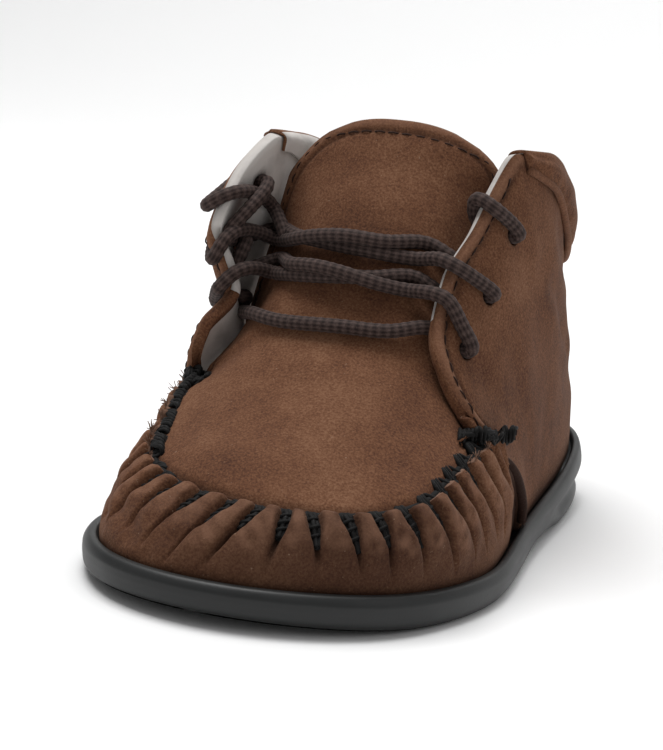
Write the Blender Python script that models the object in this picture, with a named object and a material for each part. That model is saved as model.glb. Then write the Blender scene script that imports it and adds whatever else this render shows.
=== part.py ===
"""Left moccasin ankle boot for a small child: cup outsole, insole, one hollow upper with a gathered
vamp and two quarters, an apron that runs up into the tongue, a padded collar and the lace.
Metres, +Z up, toe toward -Y, outer (lateral) side toward +X, origin under the middle of the box."""

import math

import bmesh
import bpy
import numpy as np
from mathutils import Vector
from mathutils.bvhtree import BVHTree

MM = 0.001              # metres in a millimetre

# Driving sizes in millimetres.
LENGTH = 150.0          # outsole, toe tip to heel back
BALL_WIDTH = 72.0       # outsole across the ball
COLLAR_HEIGHT = 75.0    # floor to the front corner of the collar
LEATHER = 1.4           # wall of the vamp, lining included
QUARTER_STEP = 0.9      # how far the quarter stands over the vamp
GAP = 0.3               # clearance between neighbouring pieces
RIM_INSET = 3.0         # outline to the outside of the upper
LIP_DROP = 1.5          # top of the cup lip down to the platform inside it
TOE_SPRING = 2.2        # lift of the tread under the toe tip
ARCH_RISE = 1.2         # lift of the tread under the waist
HEEL_RECESS = 1.3       # depth of the lens cut in the side of the heel
INSOLE_THICK = 2.2
PLEATS = 24             # gathers round the toe
PLEAT_RISE = 1.0        # crest of a pleat over the vamp
PLEAT_DIP = 0.55        # gutter between two pleats
PAD_THICK = 2.4         # padded collar at its fullest
PAD_ROLL = 2.2          # padded collar over the top edge
PAD_INSIDE = 7.0        # how far the padded collar turns down inside
EYELET_BORE = 3.6
LACE = 3.0              # lace diameter
TONGUE_THICK = 1.3      # wall of the apron and tongue
FLOOR_INSET = 8.0       # width of the ledge inside the cup lip
SEAM_END = 0.55         # share of the apron's middle line at which its seam ends at the wings
CROWN = [(0.0, 2.0), (0.55, 2.3), (1.0, 2.6)]   # how flat the apron is in the middle, from toe to tongue top

# Mesh counts.
RING = 72               # points round the sole
WALL_ROWS = 9           # points up a rib of the upper
PLEAT_COLUMNS = (0.0, 0.28, 0.72)   # columns of one pleat: its gutter and two on its crest
APRON_HALF = 7          # strips from the middle of the apron to each edge

X, Y, Z = BALL_WIDTH, LENGTH, COLLAR_HEIGHT

# Outline of the outsole: y, medial half breadth, lateral half breadth.
TOE_TIP_X = -0.085
HEEL_BACK_X = 0.01
OUTLINE = [
    (-0.467, 0.292, 0.200),
    (-0.400, 0.417, 0.368),
    (-0.300, 0.490, 0.465),
    (-0.200, 0.484, 0.497),
    (-0.100, 0.432, 0.482),
    (0.000, 0.376, 0.458),
    (0.100, 0.346, 0.444),
    (0.200, 0.343, 0.436),
    (0.300, 0.347, 0.416),
    (0.400, 0.300, 0.352),
    (0.467, 0.183, 0.207),
]
# Height of the cup lip over the floor: y, z.
LIP = [
    (-0.50, 0.101),
    (-0.33, 0.085),
    (-0.17, 0.077),
    (0.00, 0.092),
    (0.17, 0.125),
    (0.33, 0.168),
    (0.50, 0.203),
]
# Side of the cup from the tread edge up to the lip: inset as a share of RIM_INSET, share of the side's
# height, share of the recess.
SIDE = [
    (0.567, 0.00, 0.0),
    (0.233, 0.10, 0.0),
    (0.083, 0.24, 0.15),
    (0.033, 0.40, 1.0),
    (0.000, 0.56, 0.9),
    (0.000, 0.70, 0.0),
    (0.117, 0.86, 0.0),
    (0.367, 0.98, 0.0),
    (0.667, 0.99, 0.0),
    (0.883, 0.86, 0.0),
]
# Ribs of the upper: side, foot y, top x, top y, top z, then how the rib leaves the sole (up, out)
# and how it meets its top (down, out), as shares of the collar height.
RIBS = [
    ("tip", 0.0, 0.020, -0.417, 0.240, 0.060, 0.021, 0.020, 0.053),
    ("lat", -0.458, 0.153, -0.409, 0.240, 0.060, 0.021, 0.020, 0.053),
    ("lat", -0.380, 0.299, -0.363, 0.248, 0.067, 0.020, 0.027, 0.048),
    ("lat", -0.280, 0.365, -0.307, 0.267, 0.080, 0.017, 0.040, 0.043),
    ("lat", -0.180, 0.379, -0.233, 0.306, 0.107, 0.013, 0.067, 0.040),
    ("lat", -0.080, 0.388, -0.160, 0.332, 0.120, 0.011, 0.080, 0.040),
    ("lat_wing", -0.010, 0.394, -0.115, 0.342, 0.120, 0.008, 0.093, 0.040),
    ("lat", 0.004, 0.355, -0.150, 0.376, 0.147, 0.009, 0.093, 0.060),
    ("lat", 0.022, 0.310, -0.160, 0.430, 0.160, 0.011, 0.093, 0.080),
    ("lat", 0.040, 0.252, -0.156, 0.503, 0.187, 0.011, 0.093, 0.120),
    ("lat", 0.060, 0.207, -0.132, 0.603, 0.213, 0.011, 0.093, 0.147),
    ("lat", 0.077, 0.203, -0.098, 0.702, 0.240, 0.008, 0.107, 0.153),
    ("lat", 0.090, 0.233, -0.050, 0.813, 0.267, 0.004, 0.133, 0.133),
    ("lat", 0.107, 0.246, -0.010, 0.907, 0.293, 0.000, 0.187, 0.120),
    ("lat_corner", 0.127, 0.273, 0.027, 0.990, 0.320, -0.007, 0.267, 0.100),
    ("lat", 0.180, 0.314, 0.100, 0.977, 0.320, -0.007, 0.293, 0.060),
    ("lat", 0.253, 0.302, 0.200, 0.905, 0.320, -0.011, 0.293, 0.033),
    ("lat", 0.347, 0.247, 0.317, 0.858, 0.320, 0.000, 0.267, 0.007),
    ("lat", 0.433, 0.150, 0.407, 0.838, 0.293, 0.013, 0.267, 0.000),
    ("heel", 0.0, 0.010, 0.433, 0.834, 0.267, 0.021, 0.267, 0.000),
    ("med", 0.433, -0.132, 0.405, 0.838, 0.293, 0.013, 0.267, 0.000),
    ("med", 0.347, -0.252, 0.307, 0.855, 0.320, 0.000, 0.267, 0.007),
    ("med", 0.253, -0.312, 0.173, 0.900, 0.320, 0.000, 0.293, 0.020),
    ("med", 0.180, -0.342, 0.057, 0.955, 0.320, 0.007, 0.293, 0.033),
    ("med_corner", 0.120, -0.349, -0.030, 0.973, 0.320, 0.011, 0.240, 0.047),
    ("med", 0.100, -0.395, -0.087, 0.867, 0.293, 0.013, 0.187, 0.033),
    ("med", 0.083, -0.401, -0.127, 0.747, 0.267, 0.013, 0.147, 0.040),
    ("med", 0.070, -0.365, -0.122, 0.680, 0.240, 0.013, 0.120, 0.060),
    ("med", 0.053, -0.335, -0.123, 0.607, 0.213, 0.013, 0.093, 0.067),
    ("med", 0.033, -0.382, -0.150, 0.520, 0.187, 0.013, 0.093, 0.053),
    ("med", 0.013, -0.403, -0.150, 0.453, 0.160, 0.011, 0.093, 0.040),
    ("med_wing", -0.013, -0.410, -0.143, 0.387, 0.120, 0.008, 0.093, 0.040),
    ("med", -0.107, -0.403, -0.193, 0.347, 0.120, 0.011, 0.080, 0.040),
    ("med", -0.213, -0.375, -0.253, 0.300, 0.107, 0.013, 0.067, 0.040),
    ("med", -0.320, -0.340, -0.317, 0.267, 0.080, 0.017, 0.040, 0.043),
    ("med", -0.413, -0.257, -0.367, 0.249, 0.067, 0.020, 0.027, 0.048),
    ("med", -0.480, -0.118, -0.403, 0.240, 0.060, 0.021, 0.020, 0.053),
]
# Middle line of the apron and tongue, x, y, z, and where it stands between toe (0) and top (1).
MIDDLE = [
    (0.00, 0.020, -0.415, 0.242),
    (0.10, 0.017, -0.380, 0.292),
    (0.20, 0.014, -0.333, 0.343),
    (0.30, 0.007, -0.280, 0.396),
    (0.40, 0.000, -0.227, 0.455),
    (0.48, -0.007, -0.180, 0.520),
    (0.55, -0.012, -0.143, 0.587),
    (0.62, -0.014, -0.113, 0.660),
    (0.71, -0.014, -0.080, 0.750),
    (0.80, -0.020, -0.047, 0.847),
    (0.90, -0.028, -0.013, 0.945),
    (1.00, -0.034, 0.017, 1.043),
]
# Free edges of the tongue beyond the wings: share of the middle line, x, y, z, lateral then medial.
TONGUE_LATERAL = [
    (0.62, 0.345, -0.075, 0.430),
    (0.71, 0.310, -0.025, 0.540),
    (0.80, 0.285, 0.018, 0.650),
    (0.88, 0.262, 0.045, 0.780),
    (0.93, 0.248, 0.052, 0.870),
    (0.965, 0.222, 0.052, 0.940),
    (0.985, 0.175, 0.046, 0.988),
    (1.00, 0.110, 0.034, 1.022),
]
TONGUE_MEDIAL = [
    (0.62, -0.368, -0.095, 0.440),
    (0.71, -0.355, -0.045, 0.540),
    (0.80, -0.357, -0.010, 0.650),
    (0.88, -0.350, 0.010, 0.780),
    (0.93, -0.330, 0.016, 0.870),
    (0.965, -0.284, 0.018, 0.940),
    (0.985, -0.235, 0.018, 0.988),
    (1.00, -0.170, 0.018, 1.022),
]
# Eyelets, lowest first: side, x, y, z before they are snapped to the quarter.
EYELETS = [
    ("lat", 0.312, -0.117, 0.547),
    ("lat", 0.306, -0.060, 0.664),
    ("lat", 0.314, 0.000, 0.800),
    ("med", -0.389, -0.087, 0.560),
    ("med", -0.389, -0.073, 0.707),
    ("med", -0.375, -0.042, 0.853),
]
# Lowest lace, straight across: height on the lateral edge, on the medial edge.
BAR = (0.580, 0.545)
# Lace crossings: rise over the bar on the lateral edge, on the medial edge, and how many diameters the
# strand rides up over the middle of the tongue.
CROSSINGS = [
    (0.065, 0.123, 0.95),
    (0.110, 0.080, 0.05),
    (0.138, 0.193, 0.05),
    (0.185, 0.155, 0.95),
]

UNDER_MEDIAL = 2.6      # lace diameters between the medial edge and the end of a strand
UNDER_LATERAL = 1.2     # lace diameters between the lateral edge and the end of a strand
# Lower edge of the padded collar, as a share of the rib under it, from the lateral corner round
# the heel (0.5) to the medial corner.
PAD_REACH = [(0.0, 0.955), (0.12, 0.86), (0.25, 0.74), (0.5, 0.66), (0.75, 0.74), (0.88, 0.86), (1.0, 0.955)]

# Outside of the padded collar from the top edge down: share of the pad's height, share of its fullness.
PAD_FACE = [(0.78, 0.92), (0.45, 1.0), (0.16, 0.72), (0.0, 0.38)]


def monotone(xs, ys, at):
    """Smooth curve through a table that never overshoots its rows."""
    xs, ys, at = np.asarray(xs, float), np.asarray(ys, float), np.asarray(at, float)
    step = np.diff(xs)
    slope = np.diff(ys) / step
    tangent = np.zeros(len(xs))
    same = slope[1:] * slope[:-1] > 0
    w1, w2 = 2 * step[1:] + step[:-1], step[1:] + 2 * step[:-1]
    with np.errstate(divide="ignore", invalid="ignore"):
        mean = (w1 + w2) / (w1 / slope[:-1] + w2 / slope[1:])
    tangent[1:-1] = np.where(same, mean, 0.0)
    tangent[0], tangent[-1] = slope[0], slope[-1]
    k = np.clip(np.searchsorted(xs, at) - 1, 0, len(step) - 1)
    t = np.clip((at - xs[k]) / step[k], 0.0, 1.0)
    h = step[k]
    return (
        ys[k] * (1 + 2 * t) * (1 - t) ** 2
        + ys[k + 1] * t * t * (3 - 2 * t)
        + tangent[k] * h * t * (1 - t) ** 2
        - tangent[k + 1] * h * t * t * (1 - t)
    )


def cubic(xs, ys, at):
    """Natural cubic spline through rows of points."""
    xs, ys = np.asarray(xs, float), np.asarray(ys, float)
    n, h = len(xs), np.diff(xs)
    m = np.zeros((n, n))
    r = np.zeros((n,) + ys.shape[1:])
    m[0, 0] = m[-1, -1] = 1.0
    for i in range(1, n - 1):
        m[i, i - 1], m[i, i], m[i, i + 1] = h[i - 1], 2 * (h[i - 1] + h[i]), h[i]
        r[i] = 6 * ((ys[i + 1] - ys[i]) / h[i] - (ys[i] - ys[i - 1]) / h[i - 1])
    c = np.linalg.solve(m, r)
    at = np.asarray(at, float)
    k = np.clip(np.searchsorted(xs, at) - 1, 0, n - 2)
    a, b, s = xs[k + 1] - at, at - xs[k], h[k]
    if ys.ndim > 1:
        a, b, s = a[:, None], b[:, None], s[:, None]
    return (
        (c[k] * a**3 + c[k + 1] * b**3) / (6 * s)
        + (ys[k] / s - c[k] * s / 6) * a
        + (ys[k + 1] / s - c[k + 1] * s / 6) * b
    )


class Outline:
    """Plan of the outsole, walked from the toe tip along the outer side, the heel and the inner side."""

    def __init__(self):
        lateral = [(r[2] * X, r[0] * Y) for r in OUTLINE]
        medial = [(-r[1] * X, r[0] * Y) for r in reversed(OUTLINE)]
        points = [(TOE_TIP_X * X, -Y / 2)] + lateral + [(HEEL_BACK_X * X, Y / 2)] + medial
        pts = np.array(points)
        lap = np.concatenate([pts[-4:], pts, pts[:5]])
        run = np.concatenate([[0], np.cumsum(np.hypot(*np.diff(lap, axis=0).T))])
        start, end = run[4], run[4 + len(pts)]
        fine = cubic(run, lap, np.linspace(start, end, 1441))
        fine[:, 1] *= Y / 2 / np.abs(fine[:, 1]).max()
        walk = np.concatenate([[0], np.cumsum(np.hypot(*np.diff(fine, axis=0).T))])
        self.at, self.points = walk / walk[-1], fine
        self.heel = self.at[int(np.argmax(fine[:, 1]))]

    def share(self, side, y):
        """Share of the walk at which the outline passes y on one side."""
        mine = self.at <= self.heel if side == "lat" else self.at >= self.heel
        ys, at = self.points[mine, 1], self.at[mine]
        k = int(np.argmin(np.abs(ys - y)))
        return float(at[k])

    def sample(self, shares, inset=0.0):
        """Points and outward normals at shares of the walk, drawn in by an inset."""
        s = np.asarray(shares, float) % 1.0
        p = np.stack([np.interp(s, self.at, self.points[:, i]) for i in (0, 1)], 1)
        before, after = (s - 0.004) % 1.0, (s + 0.004) % 1.0
        steps = [np.interp(after, self.at, axis) - np.interp(before, self.at, axis) for axis in self.points.T]
        t = np.stack(steps, 1)
        n = np.stack([t[:, 1], -t[:, 0]], 1)
        n /= np.linalg.norm(n, axis=1)[:, None]
        inset = np.asarray(inset, float)
        return p - n * (inset[:, None] if inset.ndim else inset), n


PLAN = Outline()


def lip_height(y):
    return cubic([r[0] * Y for r in LIP], [r[1] * Z for r in LIP], y)


def platform_height(y):
    return lip_height(y) - LIP_DROP


def smooth_step(t):
    t = np.clip(t, 0.0, 1.0)
    return t * t * (3 - 2 * t)


def tread_height(y):
    """Underside of the sole: flat under the ball and the heel, lifted at the toe and the waist."""
    y = np.asarray(y, float) / Y
    toe = np.clip((-0.24 - y) / 0.26, 0.0, 1.0) ** 2
    waist = smooth_step((y + 0.06) / 0.10) * smooth_step((0.20 - y) / 0.10)
    return TOE_SPRING * toe + ARCH_RISE * waist


def new_material(name, colour, rough):
    material = bpy.data.materials.new(name)
    material.use_nodes = True
    shader = next(n for n in material.node_tree.nodes if n.type == "BSDF_PRINCIPLED")
    shader.inputs["Base Color"].default_value = (*colour, 1.0)
    shader.inputs["Roughness"].default_value = rough
    return material


def add_object(name, verts, faces, material, group):
    """One closed mesh from points in millimetres, faces turned outward."""
    mesh = bpy.data.meshes.new(name)
    mesh.from_pydata([tuple(float(c) * MM for c in v) for v in verts], [], [tuple(f) for f in faces])
    mesh.materials.append(material)
    body = bpy.data.objects.new(name, mesh)
    group.objects.link(body)
    tidy_mesh(body)
    return body


def tidy_mesh(body):
    work = bmesh.new()
    work.from_mesh(body.data)
    bmesh.ops.remove_doubles(work, verts=work.verts, dist=0.00001)
    bmesh.ops.recalc_face_normals(work, faces=work.faces)
    if work.calc_volume(signed=True) < 0:
        bmesh.ops.reverse_faces(work, faces=work.faces)
    work.to_mesh(body.data)
    work.free()
    body.data.update()


def ring_solid(name, rings, material, group):
    """Solid from rings of equal count, closed below the first and above the last by cross strips."""
    count = len(rings[0])
    verts = [p for ring in rings for p in ring]
    faces = []
    for r in range(len(rings) - 1):
        for i in range(count):
            j = (i + 1) % count
            faces.append((r * count + i, r * count + j, (r + 1) * count + j, (r + 1) * count + i))
    for base in (0, (len(rings) - 1) * count):
        for i in range(count // 2):
            a, b = base + i, base + i + 1
            c, d = base + (count - i - 1) % count, base + (count - i) % count
            faces.append((a, b, c) if i == 0 else (a, b, d) if i == count // 2 - 1 else (a, b, c, d))
    return add_object(name, verts, faces, material, group)


def shell_solid(name, outer, inner, closed, material, group):
    """Solid between two grids [column][row]; a closed grid joins its last column to its first."""
    cols, rows = len(outer), len(outer[0])
    verts = [p for g in (outer, inner) for col in g for p in col]
    off = cols * rows
    faces = []
    for i in range(cols if closed else cols - 1):
        k = (i + 1) % cols
        for j in range(rows - 1):
            a, b, c, d = i * rows + j, k * rows + j, k * rows + j + 1, i * rows + j + 1
            faces.append((a, b, c, d))
            faces.append((off + d, off + c, off + b, off + a))
        for j in (0, rows - 1):
            faces.append((i * rows + j, off + i * rows + j, off + k * rows + j, k * rows + j))
    if not closed:
        for i in (0, cols - 1):
            for j in range(rows - 1):
                a, b = i * rows + j, i * rows + j + 1
                faces.append((a, b, off + b, off + a))
    return add_object(name, verts, faces, material, group)


def grid_normals(grid, closed):
    """Unit normals of a grid [column][row][xyz], pointing away from the foot."""
    g = np.asarray(grid)
    if closed:
        du = np.roll(g, -1, 0) - np.roll(g, 1, 0)
    else:
        du = np.gradient(g, axis=0)
    dv = np.gradient(g, axis=1)
    n = np.cross(du, dv)
    size = np.linalg.norm(n, axis=2)
    size[size < 1e-9] = 1.0
    return n / size[:, :, None]


class Wall:
    """The upper's own surface: ribs that rise from the sole to the seam, the throat and the collar."""

    def __init__(self):
        rows = []
        for side, foot, *rest in RIBS:
            if side == "tip":
                share = 0.0
            elif side == "heel":
                share = PLAN.heel
            else:
                share = PLAN.share(side[:3], foot * Y)
            rows.append((share, side, rest))
        self.marks = {side: share for share, side, _ in rows if len(side) > 3}
        shares = np.array([r[0] for r in rows])
        table = np.array([r[2] for r in rows])
        self.shares = np.concatenate([shares - 1, shares, shares + 1])
        self.table = np.concatenate([table, table, table])

    def top(self, shares):
        s = np.asarray(shares, float)
        x, y, z = (monotone(self.shares, self.table[:, i], s) for i in range(3))
        return np.stack([x * X, y * Y, z * Z], 1)

    def quarter_share(self, shares):
        """0 under the vamp, 1 under the quarters, easing in just ahead of the wings."""
        s = np.asarray(shares, float) % 1.0
        ease = 0.03
        lat = smooth_step((s - self.marks["lat_wing"] + ease) / ease)
        med = smooth_step((self.marks["med_wing"] + ease - s) / ease)
        return lat * med

    def ribs(self, shares, rows):
        """Points [column][row] of the smooth outside."""
        s = np.asarray(shares, float)
        foot, n = PLAN.sample(s, RIM_INSET + QUARTER_STEP * self.quarter_share(s))
        foot = np.column_stack([foot, platform_height(foot[:, 1]) + GAP])
        top = self.top(s)
        up, out, down, away = (monotone(self.shares, self.table[:, i], s) * Z for i in range(3, 7))
        lean = top - foot
        low = foot + np.column_stack([n * out[:, None], up])
        low[:, :2] += 0.45 * lean[:, :2] * (up / Z)[:, None]
        high = top + np.column_stack([n * away[:, None], -down])
        high[:, 1] -= 0.825 * lean[:, 1] * (down / Z)
        u = np.asarray(rows, float)[None, :, None]
        return (
            foot[:, None] * (1 - u) ** 3
            + 3 * low[:, None] * u * (1 - u) ** 2
            + 3 * high[:, None] * u * u * (1 - u)
            + top[:, None] * u**3
        )


WALL = Wall()


def vamp_shares():
    """Ribs of the gathered vamp, from the medial wing round the toe to the lateral wing."""
    fine = np.linspace(WALL.marks["med_wing"] - 1, WALL.marks["lat_wing"], 400)
    top = WALL.top(fine)
    run = np.concatenate([[0], np.cumsum(np.linalg.norm(np.diff(top, axis=0), axis=1))])
    foot, _ = PLAN.sample(fine, RIM_INSET)
    base = np.concatenate([[0], np.cumsum(np.hypot(*np.diff(foot, axis=0).T))])
    blend = 0.75 * run / run[-1] + 0.25 * base / base[-1]
    steps = (np.arange(PLEATS)[:, None] + np.array(PLEAT_COLUMNS)[None, :]).ravel() / PLEATS
    crest = np.tile(np.array(PLEAT_COLUMNS) > 0, PLEATS)
    return np.interp(np.append(steps, 1.0), blend, fine), np.append(crest, False)


def upper_grids():
    """Outside and inside of the upper, with the pleats and the step of the quarters."""
    front, crest = vamp_shares()
    lat, med = WALL.marks["lat_wing"], WALL.marks["med_wing"]
    lat_corner, med_corner = WALL.marks["lat_corner"], WALL.marks["med_corner"]
    step = 0.0012           # share of the walk over which the quarter's edge stands up from the vamp
    quarter = np.linspace(lat + step, lat_corner, 15)
    collar = np.linspace(lat_corner, med_corner, 26)[1:]
    other = np.linspace(med_corner, med - step, 15)[1:]
    shares = np.concatenate([front, quarter, collar, other])
    height = np.linspace(0, 1, WALL_ROWS)
    smooth = WALL.ribs(shares, height)
    normal = grid_normals(smooth, True)
    outer = smooth.copy()
    fade = smooth_step((height - 0.12) / 0.6)
    swell = np.where(crest, PLEAT_RISE, -PLEAT_DIP)
    swell[:3] = swell[-3:] = 0.0
    outer[: len(front)] += normal[: len(front)] * (swell[:, None] * fade[None, :])[:, :, None]
    outer[len(front):] += normal[len(front):] * QUARTER_STEP
    inner = smooth - normal * LEATHER
    inner[:, 0, 2] = smooth[:, 0, 2]
    outer[:, 0, 2] = smooth[:, 0, 2]
    return outer, inner


def build_outsole(material, group):
    shares = np.arange(RING) / RING
    rings = []
    edge, _ = PLAN.sample(shares)
    high = lip_height(edge[:, 1])
    lens = smooth_step((edge[:, 1] / Y - 0.10) / 0.12)
    for inset, part, recess in [(2.0, 0.0, 0.0)] + SIDE:
        low = tread_height(edge[:, 1])
        drawn, _ = PLAN.sample(shares, inset * RIM_INSET + HEEL_RECESS * recess * lens)
        if part == 0.0:
            low = tread_height(drawn[:, 1])
        rings.append(np.column_stack([drawn, low + part * (high - low)]))
    for inset in (RIM_INSET - GAP, FLOOR_INSET):
        drawn, _ = PLAN.sample(shares, inset)
        rings.append(np.column_stack([drawn, platform_height(drawn[:, 1])]))
    return ring_solid("outsole", rings, material, group)


def build_insole(material, group):
    shares = np.arange(RING) / RING
    inset = RIM_INSET + LEATHER + GAP + QUARTER_STEP * WALL.quarter_share(shares)
    rings = []
    rounded = INSOLE_THICK / 4
    flat = 2 * RIM_INSET
    sides = ((GAP, 0.0), (GAP, INSOLE_THICK - rounded), (GAP + rounded, INSOLE_THICK))
    for extra, rise in ((flat, 0.0), *sides, (flat, INSOLE_THICK)):
        drawn, _ = PLAN.sample(shares, inset + extra)
        rings.append(np.column_stack([drawn, platform_height(drawn[:, 1]) + GAP + rise]))
    return ring_solid("insole", rings, material, group)


def build_upper(material, group):
    outer, inner = upper_grids()
    return shell_solid("upper", outer, inner, True, material, group)


def quarter_sheet(outside):
    """Search tree over one side of the quarters and collar band."""
    outer, inner = upper_grids()
    grid = (outer if outside else inner)[PLEATS * len(PLEAT_COLUMNS) + 1:]
    cols, rows = grid.shape[:2]
    verts = [Vector(p) for col in grid for p in col]
    faces = []
    for i in range(cols - 1):
        for j in range(rows - 1):
            a, b = i * rows + j, (i + 1) * rows + j
            faces.append((a, b, b + 1, a + 1))
    return BVHTree.FromPolygons(verts, faces)


def seam_edge(side, part):
    """Edge of the apron along the seam, one gap beyond the top of the vamp, and the direction of
    its thickness. Near the wing it ducks under the quarter."""
    part = np.asarray(part, float)
    start = 0.0 if side == "lat" else 1.0
    wing = WALL.marks[side + "_wing"]
    shares = start + (wing - start) * part
    ribs = WALL.ribs(shares, [0.90, 1.0])
    beside = WALL.ribs(shares + 0.002, [1.0])[:, 0]
    lead = ribs[:, 1] - ribs[:, 0]
    lead /= np.linalg.norm(lead, axis=1)[:, None]
    normal = np.cross(beside - ribs[:, 1], lead)
    normal /= np.linalg.norm(normal, axis=1)[:, None]
    normal *= np.sign(normal[:, 2:3])
    duck = (LEATHER + GAP * 1.8) * smooth_step((part - 0.78) / 0.18)
    return ribs[:, 1] + lead * GAP * 1.6 - normal * duck[:, None], normal


def apron_grid():
    """Outside of the apron and tongue [station][across], and its edges cleared of the quarters."""
    tongue = (0.60, 0.66, 0.72, 0.78, 0.84, 0.90, 0.93, 0.96, 0.98, 0.99, 1.0)
    stations = np.concatenate([np.linspace(0.0, SEAM_END, 14), tongue])
    mid = np.array([(r[1] * X, r[2] * Y, r[3] * Z) for r in MIDDLE])
    middle = cubic([r[0] for r in MIDDLE], mid, stations)
    on_seam = stations <= SEAM_END
    even = stations[on_seam] / SEAM_END
    part = 0.55 * np.sqrt(even) + 0.45 * even
    crown = monotone([r[0] for r in CROWN], [r[1] for r in CROWN], stations)
    edges, thick = {}, {}
    for side, table in (("lat", TONGUE_LATERAL), ("med", TONGUE_MEDIAL)):
        seam, thick[side] = seam_edge(side, part)
        knots = np.array([(r[1] * X, r[2] * Y, r[3] * Z) for r in table])
        at = np.array([SEAM_END] + [r[0] for r in table])
        rows = np.vstack([seam[-1], knots])
        free = np.stack([monotone(at, rows[:, i], stations[~on_seam]) for i in range(3)], 1)
        edges[side] = np.concatenate([seam, free])
    across = np.linspace(-1, 1, 2 * APRON_HALF + 1)
    rows = []
    for k in range(len(stations)):
        row = []
        for w in across:
            edge = edges["lat"][k] if w >= 0 else edges["med"][k]
            across_share = np.array([abs(w), abs(w) ** crown[k], abs(w) ** crown[k]])
            row.append(middle[k] + (edge - middle[k]) * across_share)
        rows.append(row)
    grid = np.array(rows)
    grid[0] = (edges["lat"][0] + edges["med"][0]) / 2
    return thick, clear_of_quarters(grid)


def clear_of_quarters(grid):
    """Sinks the tongue where it would touch the inside of a quarter."""
    tree = quarter_sheet(False)
    normal = grid_normals(grid, False)
    if normal[5, APRON_HALF, 2] < 0:
        normal = -normal
    push = np.zeros(grid.shape)
    need = GAP * 1.7
    for i in range(4, grid.shape[0]):
        for j in range(grid.shape[1]):
            p = Vector(grid[i, j])
            found, face_normal, _, far = tree.find_nearest(p)
            away = face_normal if face_normal.dot(Vector(normal[i, j])) > 0 else -face_normal
            signed = (p - found).dot(away)
            slide = (p - found - away * signed).length
            if signed > -need and slide < 1.5 and far < 9.0:
                push[i, j] = -np.array(away) * (signed + need)
    return grid + push


def build_apron(material, group):
    thick, outer = apron_grid()
    normal = grid_normals(outer, False)
    if normal[5, APRON_HALF, 2] < 0:
        normal = -normal
    normal[0] = normal[1, APRON_HALF]
    for side, edge, near in (("lat", -1, -2), ("med", 0, 1)):
        count = len(thick[side])
        normal[1:count, edge] = thick[side][1:]
        normal[1:count, near] += thick[side][1:] * 0.5
    normal /= np.linalg.norm(normal, axis=2)[:, :, None]
    inner = outer - normal * TONGUE_THICK
    return shell_solid("apron_tongue", outer, inner, False, material, group)


def build_collar(material, group):
    """Padded collar that straddles the top edge from one corner round the heel to the other."""
    first, last = WALL.marks["lat_corner"], WALL.marks["med_corner"]
    around = np.linspace(0, 1, 30)
    shares = first + (last - first) * (0.006 + 0.988 * around)
    reach = monotone([r[0] for r in PAD_REACH], [r[1] for r in PAD_REACH], around)
    fine = np.linspace(0, 1, 41)
    smooth = WALL.ribs(shares, fine)
    normal = grid_normals(smooth, False)
    sections = []
    for k in range(len(shares)):
        col, nor = smooth[k], normal[k]
        end = min(around[k], 1 - around[k])
        full = 0.45 + 0.55 * smooth_step(end / 0.12)
        step = QUARTER_STEP + GAP
        back = LEATHER + GAP
        length = np.linalg.norm(np.diff(col, axis=0), axis=1).sum()
        depth = 1 - PAD_INSIDE * full / length

        def at(u, lift, up=0.0):
            p = np.array([np.interp(u, fine, col[:, i]) for i in range(3)])
            n = np.array([np.interp(u, fine, nor[:, i]) for i in range(3)])
            lead = col[-1] - col[-3]
            lead = lead / np.linalg.norm(lead)
            return p + n * lift + lead * up

        low = reach[k]
        thick, roll = PAD_THICK * full, PAD_ROLL * full
        lower = [at(low + (1 - low) * t, step) for t in (0.0, 0.5, 1.0)]
        over = [at(1.0, step, GAP), at(1.0, -back, GAP)]
        inside = [at(depth, -back), at(depth, -back - 2 * GAP)]
        lining = -back - GAP - 3 * GAP * full
        up_in = [at((1 + depth) / 2, lining), at(1.0, lining, GAP)]
        crown = [at(1.0, GAP - back, roll * 0.8), at(1.0, (step - back) / 2 + GAP, roll)]
        crown.append(at(1.0, step + thick * 0.45, roll * 0.55))
        face = [at(low + (1 - low) * t, step + thick * fill) for t, fill in PAD_FACE]
        sections.append(lower + over + inside + up_in + crown + face)
    count = len(sections[0])
    verts = [p for s in sections for p in s]
    faces = []
    for i in range(len(sections) - 1):
        for j in range(count):
            k = (j + 1) % count
            faces.append((i * count + j, i * count + k, (i + 1) * count + k, (i + 1) * count + j))
    faces.append(tuple(range(count)))
    faces.append(tuple(range((len(sections) - 1) * count, len(sections) * count)))
    return add_object("collar", verts, faces, material, group)


def eyelet_places():
    """Point on the outside of the quarter and outward direction of each eyelet."""
    tree = quarter_sheet(True)
    places = []
    for side, x, y, z in EYELETS:
        found, normal, _, _ = tree.find_nearest(Vector((x * X, y * Y, z * Z)))
        sign = 1 if side == "lat" else -1
        normal = normal if normal.x * sign > 0 else -normal
        places.append((np.array(found), np.array(normal)))
    return places


def cut_eyelets(upper, cutters):
    through = 2 * (LEATHER + QUARTER_STEP) + EYELET_BORE
    for k, (point, normal) in enumerate(eyelet_places()):
        bpy.ops.mesh.primitive_cylinder_add(vertices=12, radius=EYELET_BORE / 2 * MM, depth=through * MM)
        drill = bpy.context.active_object
        drill.name = "eyelet_drill_%d" % (k + 1)
        drill.location = Vector(point) * MM
        drill.rotation_euler = Vector(normal).to_track_quat("Z", "Y").to_euler()
        for home in list(drill.users_collection):
            home.objects.unlink(drill)
        cutters.objects.link(drill)
        drill.hide_render = True
        drill.display_type = "WIRE"
        cut = upper.modifiers.new(drill.name, "BOOLEAN")
        cut.operation = "DIFFERENCE"
        cut.solver = "EXACT"
        cut.object = drill


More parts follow.
